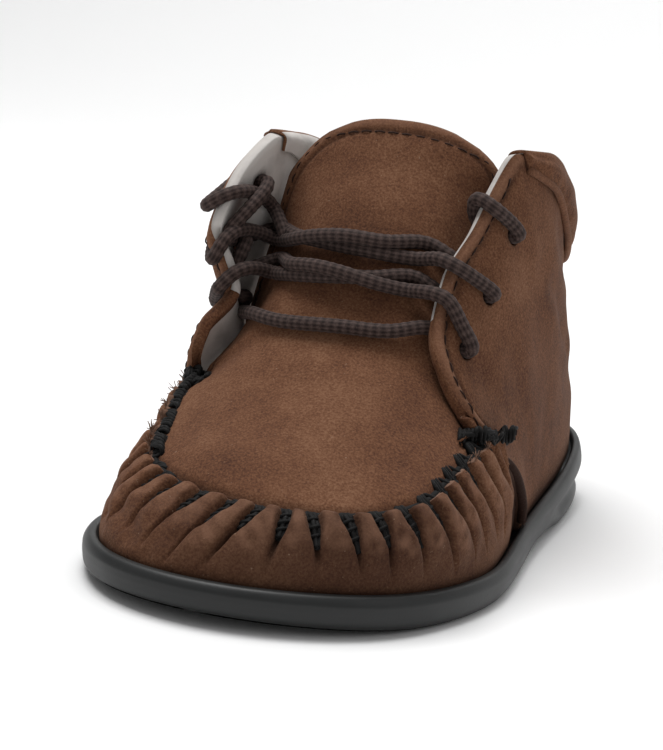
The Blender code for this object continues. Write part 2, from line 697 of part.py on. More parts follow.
def add_cord(name, points, material, group):
    """Round lace through points in millimetres, capped at both ends."""
    pts = np.asarray(points, float)
    run = np.concatenate([[0], np.cumsum(np.linalg.norm(np.diff(pts, axis=0), axis=1))])
    count = max(5, int(math.ceil(run[-1] / (1.6 * LACE))) + 1)
    line = cubic(run, pts, np.linspace(0, run[-1], count))
    curve = bpy.data.curves.new(name, "CURVE")
    curve.dimensions = "3D"
    curve.bevel_depth = LACE / 2 * MM
    curve.bevel_resolution = 2
    curve.use_fill_caps = True
    spline = curve.splines.new("POLY")
    spline.points.add(len(line) - 1)
    for point, place in zip(spline.points, line):
        point.co = (*[float(c) * MM for c in place], 1.0)
    spare = bpy.data.objects.new(name + "_path", curve)
    mesh = bpy.data.meshes.new_from_object(spare)
    bpy.data.objects.remove(spare)
    mesh.materials.clear()
    mesh.materials.append(material)
    body = bpy.data.objects.new(name, mesh)
    group.objects.link(body)
    tidy_mesh(body)
    return body


class Throat:
    """Where the lace lies: the tongue's own surface and the front edges of the quarters."""

    def __init__(self):
        _, self.grid = apron_grid()
        normal = grid_normals(self.grid, False)
        self.normal = normal if normal[5, APRON_HALF, 2] > 0 else -normal

    def on_tongue(self, x, z, lift):
        """Point over the tongue at x and height z, lifted off it."""
        points, normals = [], []
        for row, nor in zip(self.grid[6:], self.normal[6:]):
            order = np.argsort(row[:, 0])
            points.append([np.interp(x, row[order, 0], row[order, i]) for i in range(3)])
            normals.append([np.interp(x, row[order, 0], nor[order, i]) for i in range(3)])
        points, normals = np.array(points), np.array(normals)
        k = int(np.clip(np.searchsorted(points[:, 2], z), 1, len(points) - 1))
        t = (z - points[k - 1, 2]) / (points[k, 2] - points[k - 1, 2])
        p = points[k - 1] + (points[k] - points[k - 1]) * t
        n = normals[k - 1] + (normals[k] - normals[k - 1]) * t
        return p + n / np.linalg.norm(n) * lift

    def edge(self, side, z):
        """Point on the front edge of a quarter at a height."""
        start, stop = WALL.marks[side + "_wing"], WALL.marks[side + "_corner"]
        shares = np.linspace(start, stop, 200)
        top = WALL.top(shares)
        k = int(np.argmin(np.abs(top[:, 2] - z)))
        return top[k]


def add_strand(name, throat, z_lat, z_med, ride, material, group):
    """One lace over the tongue, between the edges of the quarters."""
    clear = LACE / 2 + GAP * 1.4
    left = throat.edge("med", z_med * Z)[0] + UNDER_MEDIAL * LACE
    right = throat.edge("lat", z_lat * Z)[0] - UNDER_LATERAL * LACE
    points = []
    for t in np.linspace(0, 1, 7):
        hump = math.exp(-(((t - 0.5) / 0.22) ** 2))
        z = (z_med + (z_lat - z_med) * t) * Z
        points.append(throat.on_tongue(left + (right - left) * t, z, clear + ride * LACE * hump))
    return add_cord(name, points, material, group)


def build_lace(material, group):
    """Lowest bar, and the two crossings joined into one solid."""
    throat = Throat()
    add_strand("lace_bar", throat, *BAR, 0.0, material, group)
    crossings = None
    for rise_lat, rise_med, ride in CROSSINGS:
        name = "lace_strand" if crossings else "lace_crossings"
        strand = add_strand(name, throat, BAR[0] + rise_lat, BAR[1] + rise_med, ride, material, group)
        if crossings is None:
            crossings = strand
            continue
        join = crossings.modifiers.new("join", "BOOLEAN")
        join.operation = "UNION"
        join.solver = "EXACT"
        join.object = strand
        mesh = bpy.data.meshes.new_from_object(crossings.evaluated_get(bpy.context.evaluated_depsgraph_get()))
        crossings.modifiers.clear()
        crossings.data = mesh
        bpy.data.objects.remove(strand)
        tidy_mesh(crossings)


def main():
    for body in list(bpy.data.objects):
        bpy.data.objects.remove(body, do_unlink=True)
    group = bpy.data.collections.new("moccasin_boot")
    cutters = bpy.data.collections.new("cutters")
    bpy.context.scene.collection.children.link(group)
    bpy.context.scene.collection.children.link(cutters)
    rubber = new_material("rubber", (0.018, 0.018, 0.019), 0.55)
    nubuck = new_material("nubuck", (0.105, 0.047, 0.030), 0.9)
    board = new_material("lining", (0.42, 0.40, 0.38), 0.85)
    build_outsole(rubber, group)
    build_insole(board, group)
    cord = new_material("cord", (0.020, 0.013, 0.013), 0.8)
    upper = build_upper(nubuck, group)
    cut_eyelets(upper, cutters)
    build_apron(nubuck, group)
    build_collar(nubuck, group)
    build_lace(cord, group)
    bodies = list(group.objects)
    corners = np.array([v.co[:] for b in bodies for v in b.data.vertices])
    shift = -(corners.max(0) + corners.min(0)) / 2
    shift[2] = -corners[:, 2].min()
    for body in bodies:
        for vertex in body.data.vertices:
            vertex.co += Vector(shift)
        body.data.update()
    for drill in cutters.objects:
        drill.location += Vector(shift)


main()
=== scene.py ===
"""Looks of a left moccasin ankle boot for a small child: brown nubuck with a gathered toe, laced over
the tongue, on a thin dark rubber cup sole. All working sizes are millimetres in the boot's own frame:
+Z up, toe toward -Y, outer (lateral) side toward +X."""

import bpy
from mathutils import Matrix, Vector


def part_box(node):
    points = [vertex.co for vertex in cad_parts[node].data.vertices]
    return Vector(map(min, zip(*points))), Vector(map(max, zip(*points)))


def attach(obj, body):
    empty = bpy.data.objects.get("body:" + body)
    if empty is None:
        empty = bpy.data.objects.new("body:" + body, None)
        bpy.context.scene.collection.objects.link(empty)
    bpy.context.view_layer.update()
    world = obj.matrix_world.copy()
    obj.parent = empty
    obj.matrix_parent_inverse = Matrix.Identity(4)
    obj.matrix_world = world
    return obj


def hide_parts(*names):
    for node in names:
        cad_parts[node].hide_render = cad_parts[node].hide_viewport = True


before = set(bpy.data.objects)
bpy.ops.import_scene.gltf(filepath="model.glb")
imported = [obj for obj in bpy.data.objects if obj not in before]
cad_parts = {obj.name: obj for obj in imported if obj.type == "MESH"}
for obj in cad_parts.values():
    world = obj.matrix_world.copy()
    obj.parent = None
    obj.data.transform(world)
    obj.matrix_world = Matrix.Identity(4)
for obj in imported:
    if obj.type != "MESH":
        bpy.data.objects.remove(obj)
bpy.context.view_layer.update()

import logging
import math
from dataclasses import dataclass, field
from enum import Enum

import bmesh
import bpy
import numpy as np
from mathutils import Matrix, Vector
from mathutils.bvhtree import BVHTree

LOG = logging.getLogger("boot")
MM = 0.001
SAME_PLACE = 0.002 * MM      # points closer than this are one
TAU = 2.0 * math.pi
Z_UP = np.array([0.0, 0.0, 1.0])


@dataclass(frozen=True)
class Sizes:
    """Driving sizes of the boot, in millimetres."""

    length: float = 150.0
    ball_width: float = 72.0
    collar_height: float = 75.0
    leather: float = 1.4
    quarter_step: float = 0.9
    gap: float = 0.3
    rim_inset: float = 3.0
    lip_drop: float = 1.5
    toe_spring: float = 2.2
    arch_rise: float = 1.2
    heel_recess: float = 1.3
    pleats: int = 24
    eyelet_bore: float = 3.6
    lace: float = 3.0


SIZES = Sizes()
X, Y, Z = SIZES.ball_width, SIZES.length, SIZES.collar_height

# Outline of the outsole: y, medial half breadth, lateral half breadth, as shares of length and width.
TOE_TIP_X = -0.085
HEEL_BACK_X = 0.01
OUTLINE = [
    (-0.467, 0.292, 0.200),
    (-0.400, 0.417, 0.368),
    (-0.300, 0.490, 0.465),
    (-0.200, 0.484, 0.497),
    (-0.100, 0.432, 0.482),
    (0.000, 0.376, 0.458),
    (0.100, 0.346, 0.444),
    (0.200, 0.343, 0.436),
    (0.300, 0.347, 0.416),
    (0.400, 0.300, 0.352),
    (0.467, 0.183, 0.207),
]
# Height of the cup lip over the floor: y, z.
LIP = [(-0.50, 0.101), (-0.33, 0.085), (-0.17, 0.077), (0.0, 0.092), (0.17, 0.125), (0.33, 0.168), (0.50, 0.203)]
# Side of the cup from tread edge to lip: inset in mm, share of the side's height, share of the recess.
SIDE = [
    (1.7, 0.00, 0.0),
    (0.7, 0.10, 0.0),
    (0.25, 0.24, 0.15),
    (0.1, 0.40, 1.0),
    (0.0, 0.56, 0.9),
    (0.0, 0.70, 0.0),
    (0.35, 0.86, 0.0),
    (1.1, 0.98, 0.0),
    (2.0, 0.99, 0.0),
    (2.65, 0.86, 0.0),
]
# Ribs of the upper: side, foot y, top x, y, z, then up, out, down and away of the rib's ends in mm.
RIBS = [
    ("tip", 0.0, 0.020, -0.417, 0.240, 4.5, 1.6, 1.5, 4.0),
    ("lat", -0.458, 0.153, -0.409, 0.240, 4.5, 1.6, 1.5, 4.0),
    ("lat", -0.380, 0.299, -0.363, 0.248, 5.0, 1.5, 2.0, 3.6),
    ("lat", -0.280, 0.365, -0.307, 0.267, 6.0, 1.3, 3.0, 3.2),
    ("lat", -0.180, 0.379, -0.233, 0.306, 8.0, 1.0, 5.0, 3.0),
    ("lat", -0.080, 0.388, -0.160, 0.332, 9.0, 0.8, 6.0, 3.0),
    ("lat_wing", -0.010, 0.394, -0.115, 0.342, 9.0, 0.6, 7.0, 3.0),
    ("lat", 0.004, 0.355, -0.150, 0.376, 11.0, 0.7, 7.0, 4.5),
    ("lat", 0.022, 0.310, -0.160, 0.430, 12.0, 0.8, 7.0, 6.0),
    ("lat", 0.040, 0.252, -0.156, 0.503, 14.0, 0.8, 7.0, 9.0),
    ("lat", 0.060, 0.207, -0.132, 0.603, 16.0, 0.8, 7.0, 11.0),
    ("lat", 0.077, 0.203, -0.098, 0.702, 18.0, 0.6, 8.0, 11.5),
    ("lat", 0.090, 0.233, -0.050, 0.813, 20.0, 0.3, 10.0, 10.0),
    ("lat", 0.107, 0.246, -0.010, 0.907, 22.0, 0.0, 14.0, 9.0),
    ("lat_corner", 0.127, 0.273, 0.027, 0.990, 24.0, -0.5, 20.0, 7.5),
    ("lat", 0.180, 0.314, 0.100, 0.977, 24.0, -0.5, 22.0, 4.5),
    ("lat", 0.253, 0.302, 0.200, 0.905, 24.0, -0.8, 22.0, 2.5),
    ("lat", 0.347, 0.247, 0.317, 0.858, 24.0, 0.0, 20.0, 0.5),
    ("lat", 0.433, 0.150, 0.407, 0.838, 22.0, 1.0, 20.0, 0.0),
    ("heel", 0.0, 0.010, 0.433, 0.834, 20.0, 1.6, 20.0, 0.0),
    ("med", 0.433, -0.132, 0.405, 0.838, 22.0, 1.0, 20.0, 0.0),
    ("med", 0.347, -0.252, 0.307, 0.855, 24.0, 0.0, 20.0, 0.5),
    ("med", 0.253, -0.312, 0.173, 0.900, 24.0, 0.0, 22.0, 1.5),
    ("med", 0.180, -0.342, 0.057, 0.955, 24.0, 0.5, 22.0, 2.5),
    ("med_corner", 0.120, -0.349, -0.030, 0.973, 24.0, 0.8, 18.0, 3.5),
    ("med", 0.100, -0.395, -0.087, 0.867, 22.0, 1.0, 14.0, 2.5),
    ("med", 0.083, -0.401, -0.127, 0.747, 20.0, 1.0, 11.0, 3.0),
    ("med", 0.070, -0.365, -0.122, 0.680, 18.0, 1.0, 9.0, 4.5),
    ("med", 0.053, -0.335, -0.123, 0.607, 16.0, 1.0, 7.0, 5.0),
    ("med", 0.033, -0.382, -0.150, 0.520, 14.0, 1.0, 7.0, 4.0),
    ("med", 0.013, -0.403, -0.150, 0.453, 12.0, 0.8, 7.0, 3.0),
    ("med_wing", -0.013, -0.410, -0.143, 0.387, 9.0, 0.6, 7.0, 3.0),
    ("med", -0.107, -0.403, -0.193, 0.347, 9.0, 0.8, 6.0, 3.0),
    ("med", -0.213, -0.375, -0.253, 0.300, 8.0, 1.0, 5.0, 3.0),
    ("med", -0.320, -0.340, -0.317, 0.267, 6.0, 1.3, 3.0, 3.2),
    ("med", -0.413, -0.257, -0.367, 0.249, 5.0, 1.5, 2.0, 3.6),
    ("med", -0.480, -0.118, -0.403, 0.240, 4.5, 1.6, 1.5, 4.0),
]
# Middle line of apron and tongue: station from toe (0) to tongue top (1), x, y, z.
MIDDLE = [
    (0.00, 0.020, -0.415, 0.242),
    (0.10, 0.017, -0.380, 0.292),
    (0.20, 0.014, -0.333, 0.343),
    (0.30, 0.007, -0.280, 0.396),
    (0.40, 0.000, -0.227, 0.455),
    (0.48, -0.007, -0.180, 0.520),
    (0.55, -0.012, -0.143, 0.587),
    (0.62, -0.014, -0.113, 0.660),
    (0.71, -0.014, -0.080, 0.750),
    (0.80, -0.020, -0.047, 0.847),
    (0.90, -0.028, -0.013, 0.945),
    (1.00, -0.034, 0.017, 1.043),
]
# Free edges of the tongue beyond the wings: station, x, y, z.
TONGUE_LATERAL = [
    (0.62, 0.345, -0.075, 0.430),
    (0.71, 0.310, -0.025, 0.540),
    (0.80, 0.285, 0.018, 0.650),
    (0.88, 0.262, 0.045, 0.780),
    (0.93, 0.248, 0.052, 0.870),
    (0.965, 0.222, 0.052, 0.940),
    (0.985, 0.175, 0.046, 0.988),
    (1.00, 0.110, 0.034, 1.022),
]
TONGUE_MEDIAL = [
    (0.62, -0.368, -0.095, 0.440),
    (0.71, -0.355, -0.045, 0.540),
    (0.80, -0.357, -0.010, 0.650),
    (0.88, -0.350, 0.010, 0.780),
    (0.93, -0.330, 0.016, 0.870),
    (0.965, -0.284, 0.018, 0.940),
    (0.985, -0.235, 0.018, 0.988),
    (1.00, -0.170, 0.018, 1.022),
]
SEAM_END = 0.55         # station at which the apron's seam ends at the wings
# Eyelets, lowest first: side, x, y, z before they are snapped to the quarter.
EYELETS = [
    ("lat", 0.312, -0.117, 0.547),
    ("lat", 0.306, -0.060, 0.664),
    ("lat", 0.314, 0.000, 0.800),
    ("med", -0.389, -0.087, 0.560),
    ("med", -0.389, -0.073, 0.707),
    ("med", -0.375, -0.042, 0.853),
]
# Lower edge of the padded collar, as a share of the rib under it, from the lateral corner round the heel.
PAD_REACH = [(0.0, 0.955), (0.12, 0.86), (0.25, 0.74), (0.5, 0.66), (0.75, 0.74), (0.88, 0.86), (1.0, 0.955)]


def smooth_step(t: np.ndarray) -> np.ndarray:
    """Eases from 0 to 1 with flat ends."""
    t = np.clip(t, 0.0, 1.0)
    return t * t * (3 - 2 * t)


def monotone(xs: list, ys: list, at: np.ndarray) -> np.ndarray:
    """Smooth curve through a table that never overshoots its rows.

    Args:
        xs: Rising positions of the rows.
        ys: Value of each row.
        at: Positions to read.

    Returns:
        The values there.
    """
    xs, ys, at = np.asarray(xs, float), np.asarray(ys, float), np.asarray(at, float)
    step = np.diff(xs)
    slope = np.diff(ys) / step
    tangent = np.zeros(len(xs))
    same = slope[1:] * slope[:-1] > 0
    w1, w2 = 2 * step[1:] + step[:-1], step[1:] + 2 * step[:-1]
    with np.errstate(divide="ignore", invalid="ignore"):
        mean = (w1 + w2) / (w1 / slope[:-1] + w2 / slope[1:])
    tangent[1:-1] = np.where(same, mean, 0.0)
    tangent[0], tangent[-1] = slope[0], slope[-1]
    k = np.clip(np.searchsorted(xs, at) - 1, 0, len(step) - 1)
    t = np.clip((at - xs[k]) / step[k], 0.0, 1.0)
    h = step[k]
    return (
        ys[k] * (1 + 2 * t) * (1 - t) ** 2
        + ys[k + 1] * t * t * (3 - 2 * t)
        + tangent[k] * h * t * (1 - t) ** 2
        - tangent[k + 1] * h * t * t * (1 - t)
    )


def cubic(xs: list, ys: np.ndarray, at: np.ndarray) -> np.ndarray:
    """Natural cubic spline through rows of values or points.

    Args:
        xs: Rising positions of the rows.
        ys: Value or point of each row.
        at: Positions to read.

    Returns:
        Values or points there.
    """
    xs, ys = np.asarray(xs, float), np.asarray(ys, float)
    n, h = len(xs), np.diff(xs)
    m = np.zeros((n, n))
    r = np.zeros((n,) + ys.shape[1:])
    m[0, 0] = m[-1, -1] = 1.0
    for i in range(1, n - 1):
        m[i, i - 1], m[i, i], m[i, i + 1] = h[i - 1], 2 * (h[i - 1] + h[i]), h[i]
        r[i] = 6 * ((ys[i + 1] - ys[i]) / h[i] - (ys[i] - ys[i - 1]) / h[i - 1])
    c = np.linalg.solve(m, r)
    at = np.asarray(at, float)
    k = np.clip(np.searchsorted(xs, at) - 1, 0, n - 2)
    a, b, s = xs[k + 1] - at, at - xs[k], h[k]
    if ys.ndim > 1:
        a, b, s = a[:, None], b[:, None], s[:, None]
    return (
        (c[k] * a**3 + c[k + 1] * b**3) / (6 * s)
        + (ys[k] / s - c[k] * s / 6) * a
        + (ys[k + 1] / s - c[k + 1] * s / 6) * b
    )


def unit(v: np.ndarray) -> np.ndarray:
    """Vectors scaled to length 1."""
    size = np.linalg.norm(v, axis=-1, keepdims=True)
    return v / np.where(size < 1e-9, 1.0, size)


def walked(line: np.ndarray) -> np.ndarray:
    """Length walked along a line at each of its points, from 0."""
    return np.concatenate([[0], np.cumsum(np.linalg.norm(np.diff(line, axis=0), axis=1))])


def read(at: np.ndarray, run: np.ndarray, line: np.ndarray) -> np.ndarray:
    """Places on a line at given lengths of its walk."""
    return np.stack([np.interp(at, run, line[:, i]) for i in range(line.shape[1])], -1)


def line_through(points: list, spacing: float) -> np.ndarray:
    """Evenly spaced points on a smooth curve through given ones, of which repeated ones are dropped.

    Args:
        points: The places the curve passes, in millimetres.
        spacing: Distance between the points wanted.

    Returns:
        Points along the curve.
    """
    pts = np.asarray(points, float)
    apart = np.linalg.norm(np.diff(pts, axis=0), axis=1)
    pts = pts[np.concatenate([[True], apart > 0.01])]
    run = np.concatenate([[0], np.cumsum(apart[apart > 0.01])])
    fine = cubic(run, pts, np.linspace(0, run[-1], 12 * len(pts)))
    walk = walked(fine)
    return read(np.linspace(0, walk[-1], max(3, int(walk[-1] / spacing) + 1)), walk, fine)


def distance_to_line(points: np.ndarray, line: np.ndarray) -> np.ndarray:
    """Shortest distance from each point to a polyline."""
    flat = points.reshape(-1, 3)
    best = np.full(len(flat), 1e9)
    for a, b in zip(line[:-1], line[1:]):
        d = b - a
        t = np.clip((flat - a) @ d / max(d @ d, 1e-12), 0, 1)
        best = np.minimum(best, np.linalg.norm(flat - a - t[:, None] * d, axis=1))
    return best.reshape(points.shape[:-1])


def bell(far: np.ndarray, middle: float, width: float) -> np.ndarray:
    """1 at the middle, easing to 0 within about twice the width."""
    return np.exp(-(((far - middle) / width) ** 2))


def grid_normals(grid: np.ndarray, closed: bool) -> np.ndarray:
    """Unit normals of a grid [column][row][xyz], closed or open across its columns."""
    du = np.roll(grid, -1, 0) - np.roll(grid, 1, 0) if closed else np.gradient(grid, axis=0)
    return unit(np.cross(du, np.gradient(grid, axis=1)))


def pairs(count: int, closed: bool) -> list:
    """Each number below count with the next one, and the last with the first where closed."""
    return [(i, (i + 1) % count) for i in range(count if closed else count - 1)]


def grid_faces(cols: int, rows: int, ring: bool = False, tube: bool = False) -> list:
    """Corner numbers of the cells of a grid [column][row].

    Args:
        cols: Number of columns.
        rows: Number of rows.
        ring: Whether the last column joins the first.
        tube: Whether the last row joins the first.

    Returns:
        Four numbers for each cell.
    """
    return [
        (i * rows + j, k * rows + j, k * rows + m, i * rows + m)
        for i, k in pairs(cols, ring)
        for j, m in pairs(rows, tube)
    ]


def surface_tree(grid: np.ndarray) -> BVHTree:
    """Search tree over a grid [column][row][xyz]."""
    return BVHTree.FromPolygons(grid.reshape(-1, 3).tolist(), grid_faces(*grid.shape[:2]))


def waves(points: np.ndarray, size: float, seed: int) -> np.ndarray:
    """Soft seeded unevenness between about -1 and 1, made of crossed sine waves.

    Args:
        points: Places in millimetres.
        size: Rough length of a wave in millimetres.
        seed: Picks the directions.

    Returns:
        One value for each point.
    """
    rng = np.random.default_rng(seed)
    total = np.zeros(points.shape[:-1])
    for _ in range(7):
        direction = unit(rng.normal(size=3)) * TAU / (size * rng.uniform(0.7, 1.5))
        total += np.sin(points @ direction + rng.uniform(0, TAU))
    return total / 3.2


class Plan:
    """Plan of the outsole, walked from the toe tip along the outer side, the heel and the inner side."""

    beside = 0.004      # share of the walk to each side over which the direction is read

    def __init__(self) -> None:
        """Lays a smooth closed curve through the outline's rows."""
        lateral = [(r[2] * X, r[0] * Y) for r in OUTLINE]
        medial = [(-r[1] * X, r[0] * Y) for r in reversed(OUTLINE)]
        pts = np.array([(TOE_TIP_X * X, -Y / 2)] + lateral + [(HEEL_BACK_X * X, Y / 2)] + medial)
        lap = np.concatenate([pts[-4:], pts, pts[:5]])
        run = walked(lap)
        fine = cubic(run, lap, np.linspace(run[4], run[4 + len(pts)], 1441))
        fine[:, 1] *= Y / 2 / np.abs(fine[:, 1]).max()
        walk = walked(fine)
        self.at, self.points = walk / walk[-1], fine
        self.heel = self.at[int(np.argmax(fine[:, 1]))]

    def share(self, side: str, y: float) -> float:
        """Share of the walk at which the outline passes y on one side."""
        mine = self.at <= self.heel if side == "lat" else self.at >= self.heel
        return float(self.at[mine][int(np.argmin(np.abs(self.points[mine, 1] - y)))])

    def sample(self, shares: np.ndarray, inset: np.ndarray = 0.0) -> tuple:
        """Points and outward normals at shares of the walk, drawn in by an inset."""
        s = np.asarray(shares, float) % 1.0
        p = read(s, self.at, self.points)
        before, after = (read((s + d) % 1.0, self.at, self.points) for d in (-self.beside, self.beside))
        t = after - before
        n = unit(np.stack([t[:, 1], -t[:, 0]], 1))
        inset = np.asarray(inset, float)
        return p - n * (inset[:, None] if inset.ndim else inset), n


def lip_height(y: np.ndarray) -> np.ndarray:
    """Height of the cup lip at y."""
    return cubic([r[0] * Y for r in LIP], [r[1] * Z for r in LIP], y)


def platform_height(y: np.ndarray) -> np.ndarray:
    """Height of the ledge inside the lip, on which the upper stands."""
    return lip_height(y) - SIZES.lip_drop


def tread_height(y: np.ndarray) -> np.ndarray:
    """Underside of the sole: flat under ball and heel, lifted at the toe and the waist."""
    y = np.asarray(y, float) / Y
    toe = np.clip((-0.24 - y) / 0.26, 0.0, 1.0) ** 2
    waist = smooth_step((y + 0.06) / 0.10) * smooth_step((0.20 - y) / 0.10)
    return SIZES.toe_spring * toe + SIZES.arch_rise * waist


class Wall:
    """The upper's own surface: ribs that rise from the sole to the seam, the throat and the collar."""

    def __init__(self, plan: Plan) -> None:
        """Puts the rib table in walking order and wraps it once each way."""
        self.plan = plan
        rows = []
        for side, foot, *rest in RIBS:
            share = {"tip": 0.0, "heel": plan.heel}.get(side)
            rows.append((plan.share(side[:3], foot * Y) if share is None else share, side, rest))
        self.marks = {side: share for share, side, _ in rows if len(side) > 3}
        shares, table = np.array([r[0] for r in rows]), np.array([r[2] for r in rows])
        self.shares = np.concatenate([shares - 1, shares, shares + 1])
        self.table = np.concatenate([table, table, table])

    def top(self, shares: np.ndarray) -> np.ndarray:
        """Top points of the ribs."""
        x, y, z = (monotone(self.shares, self.table[:, i], shares) for i in range(3))
        return np.stack([x * X, y * Y, z * Z], 1)

    def quarter_share(self, shares: np.ndarray) -> np.ndarray:
        """0 under the vamp, 1 under the quarters, easing in just ahead of the wings."""
        s, ease = np.asarray(shares, float) % 1.0, 0.03
        lateral = smooth_step((s - self.marks["lat_wing"] + ease) / ease)
        return lateral * smooth_step((self.marks["med_wing"] + ease - s) / ease)

    def ribs(self, shares: np.ndarray, rows: np.ndarray) -> np.ndarray:
        """Points [column][row] of the smooth outside, rows from 0 at the sole to 1 at the top."""
        s = np.asarray(shares, float)
        foot, n = self.plan.sample(s, SIZES.rim_inset + SIZES.quarter_step * self.quarter_share(s))
        foot = np.column_stack([foot, platform_height(foot[:, 1]) + SIZES.gap])
        top = self.top(s)
        up, out, down, away = (monotone(self.shares, self.table[:, i], s) for i in range(3, 7))
        lean = top - foot
        low = foot + np.column_stack([n * out[:, None], up])
        low[:, :2] += 0.12 * lean[:, :2] * (up / 20.0)[:, None]
        high = top + np.column_stack([n * away[:, None], -down])
        high[:, 1] -= 0.22 * lean[:, 1] * (down / 20.0)
        u = np.asarray(rows, float)[None, :, None]
        return (
            foot[:, None] * (1 - u) ** 3
            + 3 * low[:, None] * u * (1 - u) ** 2
            + 3 * high[:, None] * u * u * (1 - u)
            + top[:, None] * u**3
        )


PLAN = Plan()
WALL = Wall(PLAN)


def row_shift() -> np.ndarray:
    """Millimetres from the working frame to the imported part's frame, read from the outsole's box."""
    low, high = (np.array(corner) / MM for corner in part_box("outsole"))
    own = PLAN.points
    middle = (low + high) / 2
    return np.array([middle[0] - (own[:, 0].min() + own[:, 0].max()) / 2, middle[1], low[2]])


SHIFT = row_shift()


class Slot(Enum):
    """The record's material slots."""

    RUBBER = "rubber"
    NUBUCK = "nubuck"
    LINING = "lining"
    CORD = "cord"


def linear(code: str) -> tuple:
    """Linear RGBA from an sRGB hex colour."""
    parts = [int(code[i : i + 2], 16) / 255 for i in (1, 3, 5)]
    return (*[c / 12.92 if c <= 0.04045 else ((c + 0.055) / 1.055) ** 2.4 for c in parts], 1.0)


def per_mm(size: float) -> float:
    """Texture scale, in metre coordinates, that gives a feature of this many millimetres."""
    return 1.0 / (size * MM)


class Nodes:
    """A node material being put together, its patterns laid out in the object's own metres."""

    def __init__(self, name: str) -> None:
        """Starts an empty material."""
        self.material = bpy.data.materials.new(name)
        self.material.use_nodes = True
        self.tree = self.material.node_tree
        self.tree.nodes.clear()
        self.place = self.add("TexCoord").outputs["Object"]

    def add(self, kind: str, inputs: dict = None, **settings: object) -> bpy.types.Node:
        """Adds one shader node.

        Args:
            kind: Blender's node type, without its first word.
            inputs: Socket name or number to a value, a hex colour or another node's output.
            settings: Properties of the node.

        Returns:
            The node.
        """
        node = self.tree.nodes.new("ShaderNode" + kind)
        for name, value in settings.items():
            setattr(node, name, value)
        for key, value in (inputs or {}).items():
            if isinstance(value, bpy.types.NodeSocket):
                self.tree.links.new(value, node.inputs[key])
            else:
                node.inputs[key].default_value = linear(value) if isinstance(value, str) else value
        return node

    def noise(self, size_mm: float, detail: float, rough: float = 0.5) -> bpy.types.NodeSocket:
        """Cloudy pattern with features of a real size."""
        ends = {"Vector": self.place, "Scale": per_mm(size_mm), "Detail": detail, "Roughness": rough}
        return self.add("TexNoise", ends).outputs["Fac"]

    def mark(self, name: str) -> bpy.types.NodeSocket:
        """Value that the mesh carries at each point."""
        return self.add("Attribute", attribute_name=name).outputs["Fac"]

    def spread(self, value: bpy.types.NodeSocket, **ends: float) -> bpy.types.NodeSocket:
        """Stretches a value from one range to another, given as from_min, from_max, to_min and to_max."""
        named = {key.replace("_", " ").title(): end for key, end in ends.items()}
        return self.add("MapRange", {"Value": value, **named}).outputs["Result"]

    def blend(self, share: object, first: object, second: object) -> bpy.types.NodeSocket:
        """Mixes two colours."""
        return self.add("Mix", {0: share, 6: first, 7: second}, data_type="RGBA").outputs[2]

    def mix(self, share: object, first: object, second: object) -> bpy.types.NodeSocket:
        """Mixes two values."""
        return self.add("Mix", {0: share, 2: first, 3: second}, data_type="FLOAT").outputs[0]

    def bump(self, height: bpy.types.NodeSocket, strength: float, deep_mm: float, over: object = None) -> object:
        """Normal of a fine relief, laid over another relief where one is given."""
        ends = {"Height": height, "Strength": strength, "Distance": deep_mm * MM}
        if over is not None:
            ends["Normal"] = over
        return self.add("Bump", ends).outputs["Normal"]

    def finish(self, colour: object, rough: object, normal: object, **more: object) -> bpy.types.Material:
        """Closes the material with its surface shader.

        Args:
            colour: Base colour.
            rough: Roughness.
            normal: Relief.
            more: Further sockets, named with _ for each space.

        Returns:
            The material.
        """
        ends = {"Base Color": colour, "Roughness": rough, "Normal": normal}
        ends.update({key.replace("_", " "): value for key, value in more.items()})
        shader = self.add("BsdfPrincipled", ends)
        self.add("OutputMaterial", {"Surface": shader.outputs["BSDF"]})
        return self.material


@dataclass(frozen=True)
class Nubuck:
    """Oiled nubuck: cattle leather buffed on its grain side. The fine nap scatters light, so it has no
    gloss, a dusty sheen at grazing angles, and clouds where the nap lies one way or another."""

    name: str = "oiled_nubuck"
    dark: str = "#43291F"
    middle: str = "#68442F"
    light: str = "#845F47"
    dust: str = "#A08672"
    # colour of painted shade in gutters, grooves, seams and at the toe front
    shade_colour: str = "#22130F"
    # lighter colour for wear on folded edges and painted highlight on pleat crests and the piping
    wear_and_highlight_colour: str = "#97705A"
    sheen: str = "#C9A590"
    cloud_mm: float = 20.0
    blotch_mm: float = 4.2
    nap_mm: float = 0.42        # real nap is near 0.1 mm, drawn coarser so that it shows
    speck_mm: float = 0.55

    def make(self) -> bpy.types.Material:
        """Builds the node material."""
        nodes = Nodes(self.name)
        cloud, blotch = nodes.noise(self.cloud_mm, 3.0), nodes.noise(self.blotch_mm, 5.0, 0.6)
        nap = nodes.noise(self.nap_mm, 3.0, 0.7)
        strong = nodes.spread(nap, from_min=0.34, from_max=0.66)
        ramp = nodes.add("ValToRGB", {"Fac": nodes.mix(0.27, nodes.mix(0.34, cloud, blotch), strong)})
        low, high = ramp.color_ramp.elements
        low.position, low.color = 0.28, linear(self.dark)
        high.position, high.color = 0.72, linear(self.light)
        ramp.color_ramp.elements.new(0.50).color = linear(self.middle)
        # painted shade: darker where the mesh marks shade in gutters, grooves, seams and at the toe front
        colour = nodes.blend(nodes.mark("painted_shade"), ramp.outputs["Color"], self.shade_colour)
        # lighter where the mesh marks wear on folded edges and painted highlight on crests and piping
        colour = nodes.blend(nodes.mark("wear_and_highlight"), colour, self.wear_and_highlight_colour)
        dusty = nodes.spread(nodes.noise(self.speck_mm, 1.0), from_min=0.74, from_max=0.80, to_max=0.40)
        colour = nodes.blend(dusty, colour, self.dust)
        relief = nodes.bump(blotch, 0.35, 0.5, nodes.bump(nap, 0.6, 0.18))
        sheen = {"Sheen_Weight": 0.10, "Sheen_Roughness": 0.45, "Sheen_Tint": self.sheen}
        return nodes.finish(colour, 0.88, relief, Specular_IOR_Level=0.16, **sheen)


